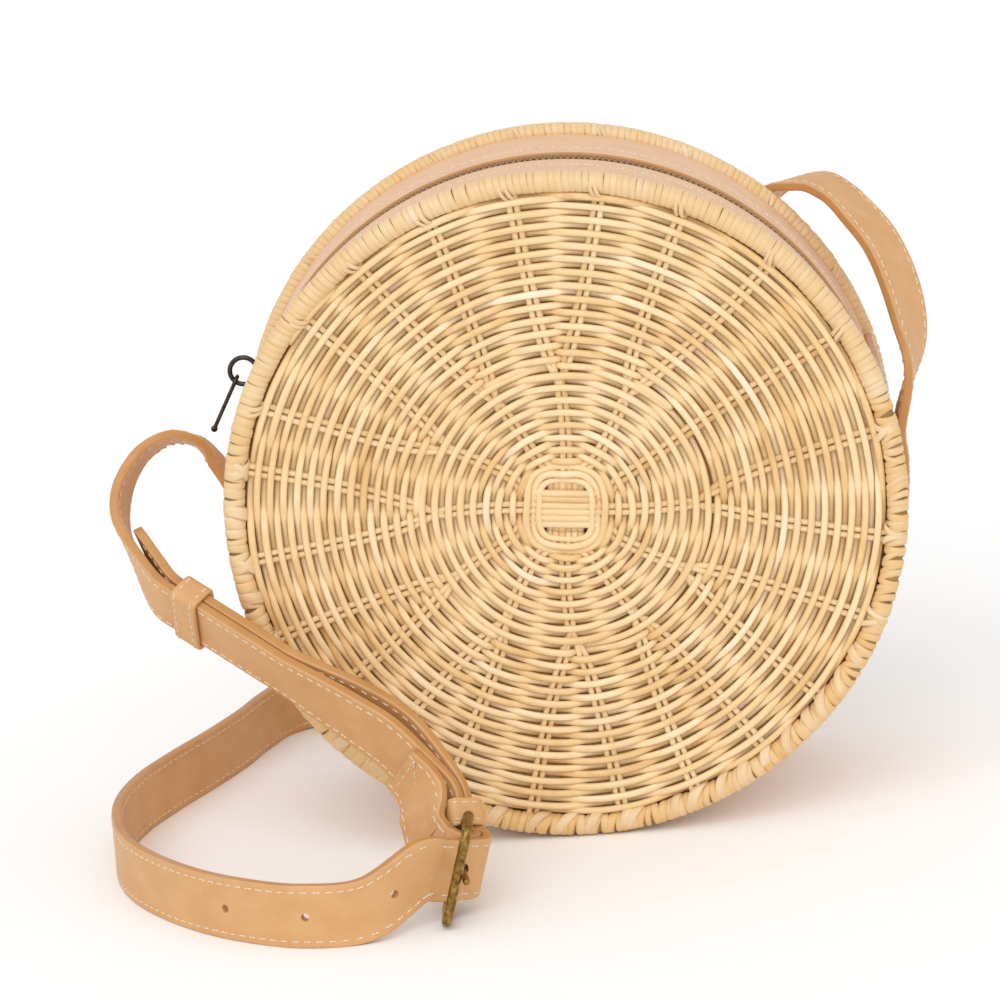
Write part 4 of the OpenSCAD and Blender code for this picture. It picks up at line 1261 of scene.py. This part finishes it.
class CIRCLEBAG_OT_linings(Operator):
    """Brown cloth behind the weave"""
    bl_idname = "circle_bag.linings"
    bl_label = "Linings"

    def execute(self, context):
        for name, face in FACES:
            radius = np.concatenate([[0.0001], np.linspace(0.004, 0.1018, 32)])
            angle = np.arange(180) * 2.0
            sag = 0.0003 * np.sin(radius[:, None] * 260) * np.sin(np.radians(angle[None] * 5))
            fronts = disc(radius[:, None], angle[None], face * (LINING_Y + sag - 0.0003))
            backs = disc(radius[::-1, None], angle[None], face * (LINING_Y - 0.0012 + 0 * sag))
            grid = np.concatenate([fronts, backs])
            n, m = grid.shape[:2]
            i, k = np.meshgrid(np.arange(n), np.arange(m), indexing="ij")
            after, beside = (i + 1) % n * m, (k + 1) % m
            quads = np.stack([i * m + k, i * m + beside, after + beside, after + k], -1).reshape(-1, 4)
            points = grid.reshape(-1, 3)
            parts = (points, quads if face > 0 else quads[:, ::-1], [], points, np.full(len(points), 0.5))
            piece(name + "_lining_cloth", parts, [lining_cloth()], "bag", (name + "_lining",))
        return {"FINISHED"}


class CIRCLEBAG_OT_side(Operator):
    """Side leather, zip strips and their stitches"""
    bl_idname = "circle_bag.side"
    bl_label = "Side leather"

    def execute(self, context):
        s = context.scene.circle_bag.stitch
        band = turned(slab(BAND_T, BAND_W, 0.0008), BAND_MIDDLE_R, ZIP_LEFT - 360, ZIP_RIGHT)
        piece("side_leather_band", band, [side_leather()], "bag", ("side_band",))
        rows = [arc_stitches(BAND_THREAD_R, y, ZIP_LEFT - 360 + 0.5, ZIP_RIGHT - 0.5, s, 5 + k)
                for k, y in enumerate((-BAND_THREAD_Y, BAND_THREAD_Y))]
        for k, a in enumerate((ZIP_RIGHT - LAP_THREAD_TURN, ZIP_LEFT + LAP_THREAD_TURN)):
            y = np.arange(-0.033, 0.034, s.stitch_l + s.stitch_gap)
            r = math.radians(a)
            out = np.broadcast_to([math.cos(r), 0, math.sin(r)], (len(y), 3))
            rows.append(stitches(disc(BAND_THREAD_R, a, y), np.broadcast_to([0, 1.0, 0], (len(y), 3)), out,
                                 s.stitch_l, s.stitch_d, 11 + k))
        piece("side_band_stitches", join(*rows), [thread()], "bag", ())
        for name, face in ZIP_SIDES:
            ring = slab(STRIP_T, STRIP_W, 0.0006, 3, 0.0008)
            strip = turned(ring, STRIP_MIDDLE_R, ZIP_RIGHT - LAP_ANGLE, ZIP_LEFT + LAP_ANGLE,
                           STRIP_MIDDLE_Y, face)
            edge = ring[:, 1] < STRIP_PAINT_Y
            slots = np.tile((edge & np.roll(edge, -1)).astype(np.int32), len(strip[1]) // len(ring))
            piece(name + "_zip_leather", strip, [side_leather(), edge_paint()], "bag", ("zip_strip_" + name,),
                  slots)
            row = arc_stitches(STRIP_THREAD_R, face * STRIP_THREAD_Y, ZIP_RIGHT + 0.5, ZIP_LEFT - 0.5,
                               s, 21 + face)
            piece(name + "_zip_stitches", row, [thread()], "bag", ())
        return {"FINISHED"}


class CIRCLEBAG_OT_zip(Operator):
    """Zip tape and coil, and the finish of the slider and its pull"""
    bl_idname = "circle_bag.zip"
    bl_label = "Zip"

    def execute(self, context):
        for name, face in ZIP_SIDES:
            tape = turned(slab(TAPE_T, TAPE_W, 0.0002), TAPE_MIDDLE_R, ZIP_RIGHT - LAP_ANGLE,
                          ZIP_LEFT + LAP_ANGLE, TAPE_MIDDLE_Y, face)
            piece(name + "_zip_tape_cloth", tape, [nylon("nylon_zip_tape", "63442c", "86603f", 0.8)], "bag",
                  ("zip_tape_" + name,))
            piece(name + "_zip_coil", coil(ZIP_RIGHT, ZIP_LEFT, face, COIL_PITCH, COIL_WIRE),
                  [nylon("nylon_coil", "7c5836", "b88c5e", 0.38)], "bag", ("zip_teeth_" + name,))
        for node in ("zip_slider", "pull"):
            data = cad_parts[node].data
            data.materials.clear()
            data.materials.append(dark_metal())
        return {"FINISHED"}


class CIRCLEBAG_OT_straps(Operator):
    """Main strap and billet with their edges, stitches and punched holes"""
    bl_idname = "circle_bag.straps"
    bl_label = "Straps"

    def execute(self, context):
        s = context.scene.circle_bag.stitch
        main = main_frames()
        whole = np.concatenate([main, fold_and_leg(main)])
        parts, slots = strap_parts(whole)
        looks = [strap_leather(), edge_paint()]
        piece("main_strap_leather", parts, looks, "bag", ("main_strap",), slots)
        piece("main_strap_stitches", join(
            strap_stitches(main, s, 31),
            strap_stitches(whole[len(main) + FOLD_STATIONS:], s, 37, 0.006),
            box_stitches(whole[-1], s, 39)),
            [thread()], "bag", ())
        billet, turn_at = billet_frames(main)
        parts, slots = strap_parts(billet, TIP_L)
        obj = piece("billet_strap_leather", parts, looks, "bag", ("billet_strap",), slots)
        head = billet[:turn_at + 2]
        backs = [HOLE_PITCH * k for k in (1, 2, 3)]
        spots = [(frame_back(head, back), length_back(head)[0] - back) for back in backs]
        holes = [cylinder_at(f[0] - STRAP_T * f[3], f[3], HOLE_R, 2 * STRAP_T) for f, _ in spots]
        angle = math.degrees(math.asin((BAR_R + PRONG_D / 2 + 0.00005) / FRAME_REACH))
        spoke = unit(round_bar(angle, 1.0) - BAR_MID)
        holes.append(cylinder_at(BAR_MID + spoke * WRAP_R, spoke, SLOT_R, FRAME_REACH - WRAP_R))
        cut(obj, holes, spots)
        piece("billet_strap_stitches", strap_stitches(billet, s, 41, 0.004, length_back(billet)[0] - 0.008),
              [thread()], "bag", ())
        return {"FINISHED"}


class CIRCLEBAG_OT_keepers(Operator):
    """Fixed and sliding keeper with their stitches"""
    bl_idname = "circle_bag.keepers"
    bl_label = "Keepers"

    def execute(self, context):
        s = context.scene.circle_bag.stitch
        main = main_frames()
        a, b = np.array(straight(0.12)[:3]), np.array(straight(1)[:3])
        along = unit(b - np.array(straight(0)[:3]))
        across = np.array(STRAIGHT_W, float)
        across = unit(across - (across @ along) * along)
        loose = np.array([a, along, across, np.cross(along, across)])
        for name, f, width, fit, side_fit, body, node in (
            ("fixed_keeper", frame_back(main, FIXED_BACK), FIXED_W, 0.0014, 0.0012, "bag", "fixed_keeper"),
            ("loose_keeper", loose, SLIDE_W, CLEAR, CLEAR, "loose_keeper", "sliding_keeper"),
        ):
            loop, rows = keeper_parts(f, width, fit, side_fit, s, 51)
            piece(name + "_leather", loop, [strap_leather()], body, (node,))
            piece(name + "_stitches", rows, [thread()], body, ())
        return {"FINISHED"}


class CIRCLEBAG_OT_buckle(Operator):
    """Buckle frame and prong in aged brass"""
    bl_idname = "circle_bag.buckle"
    bl_label = "Buckle"

    def execute(self, context):
        ring = slab(FRAME_REACH, FRAME_L - 2 * BAR_R, 0.0038, 6, 0.002)
        fine = refined(ring, 0.001)
        centre = BAR_MID + FRAME_REACH / 2 * FRAME_V
        points = centre + fine[:, :1] * FRAME_V + fine[:, 1:] * FRAME_W
        out = np.broadcast_to(FRAME_N, points.shape)
        along = unit(np.roll(points, -1, 0) - np.roll(points, 1, 0))
        side = np.cross(along, out)
        rail = ease((fine[:, :1] + 0.006) / 0.006)
        scale = BAR_R * np.concatenate([np.ones_like(rail), 1 - 0.12 * rail], 1)
        parts = toned(sweep(points[None], side[None], out[None], oval(16), scale[None], closed=True), 0.5)
        piece("brass_frame", parts, [aged_brass()], "buckle", ("buckle_frame",))
        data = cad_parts["prong"].data
        data.materials.clear()
        data.materials.append(aged_brass())
        return {"FINISHED"}


STEPS = (
    CIRCLEBAG_OT_stage, CIRCLEBAG_OT_discs, CIRCLEBAG_OT_rims, CIRCLEBAG_OT_linings, CIRCLEBAG_OT_side,
    CIRCLEBAG_OT_zip, CIRCLEBAG_OT_straps, CIRCLEBAG_OT_keepers, CIRCLEBAG_OT_buckle,
)


class CIRCLEBAG_PT_steps(Panel):
    """The steps that build the bag's looks"""
    bl_idname = "CIRCLEBAG_PT_steps"
    bl_label = "Circle bag"
    bl_space_type = "VIEW_3D"
    bl_region_type = "UI"
    bl_category = "Circle bag"

    def draw(self, context):
        for step in STEPS:
            self.layout.operator(step.bl_idname)


CLASSES = (BasketSettings, StitchSettings, StageSettings, CircleBagSettings, *STEPS, CIRCLEBAG_PT_steps)


def register():
    for c in CLASSES:
        bpy.utils.register_class(c)
    bpy.types.Scene.circle_bag = PointerProperty(type=CircleBagSettings)


def unregister():
    del bpy.types.Scene.circle_bag
    for c in reversed(CLASSES):
        bpy.utils.unregister_class(c)


def main():
    """Registers the add-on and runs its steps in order."""
    register()
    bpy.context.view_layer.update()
    for step in STEPS:
        group, name = step.bl_idname.split(".")
        if getattr(getattr(bpy.ops, group), name)() != {"FINISHED"}:
            raise RuntimeError(step.bl_idname + " did not finish")
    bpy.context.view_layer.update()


if __name__ == "__main__":
    main()
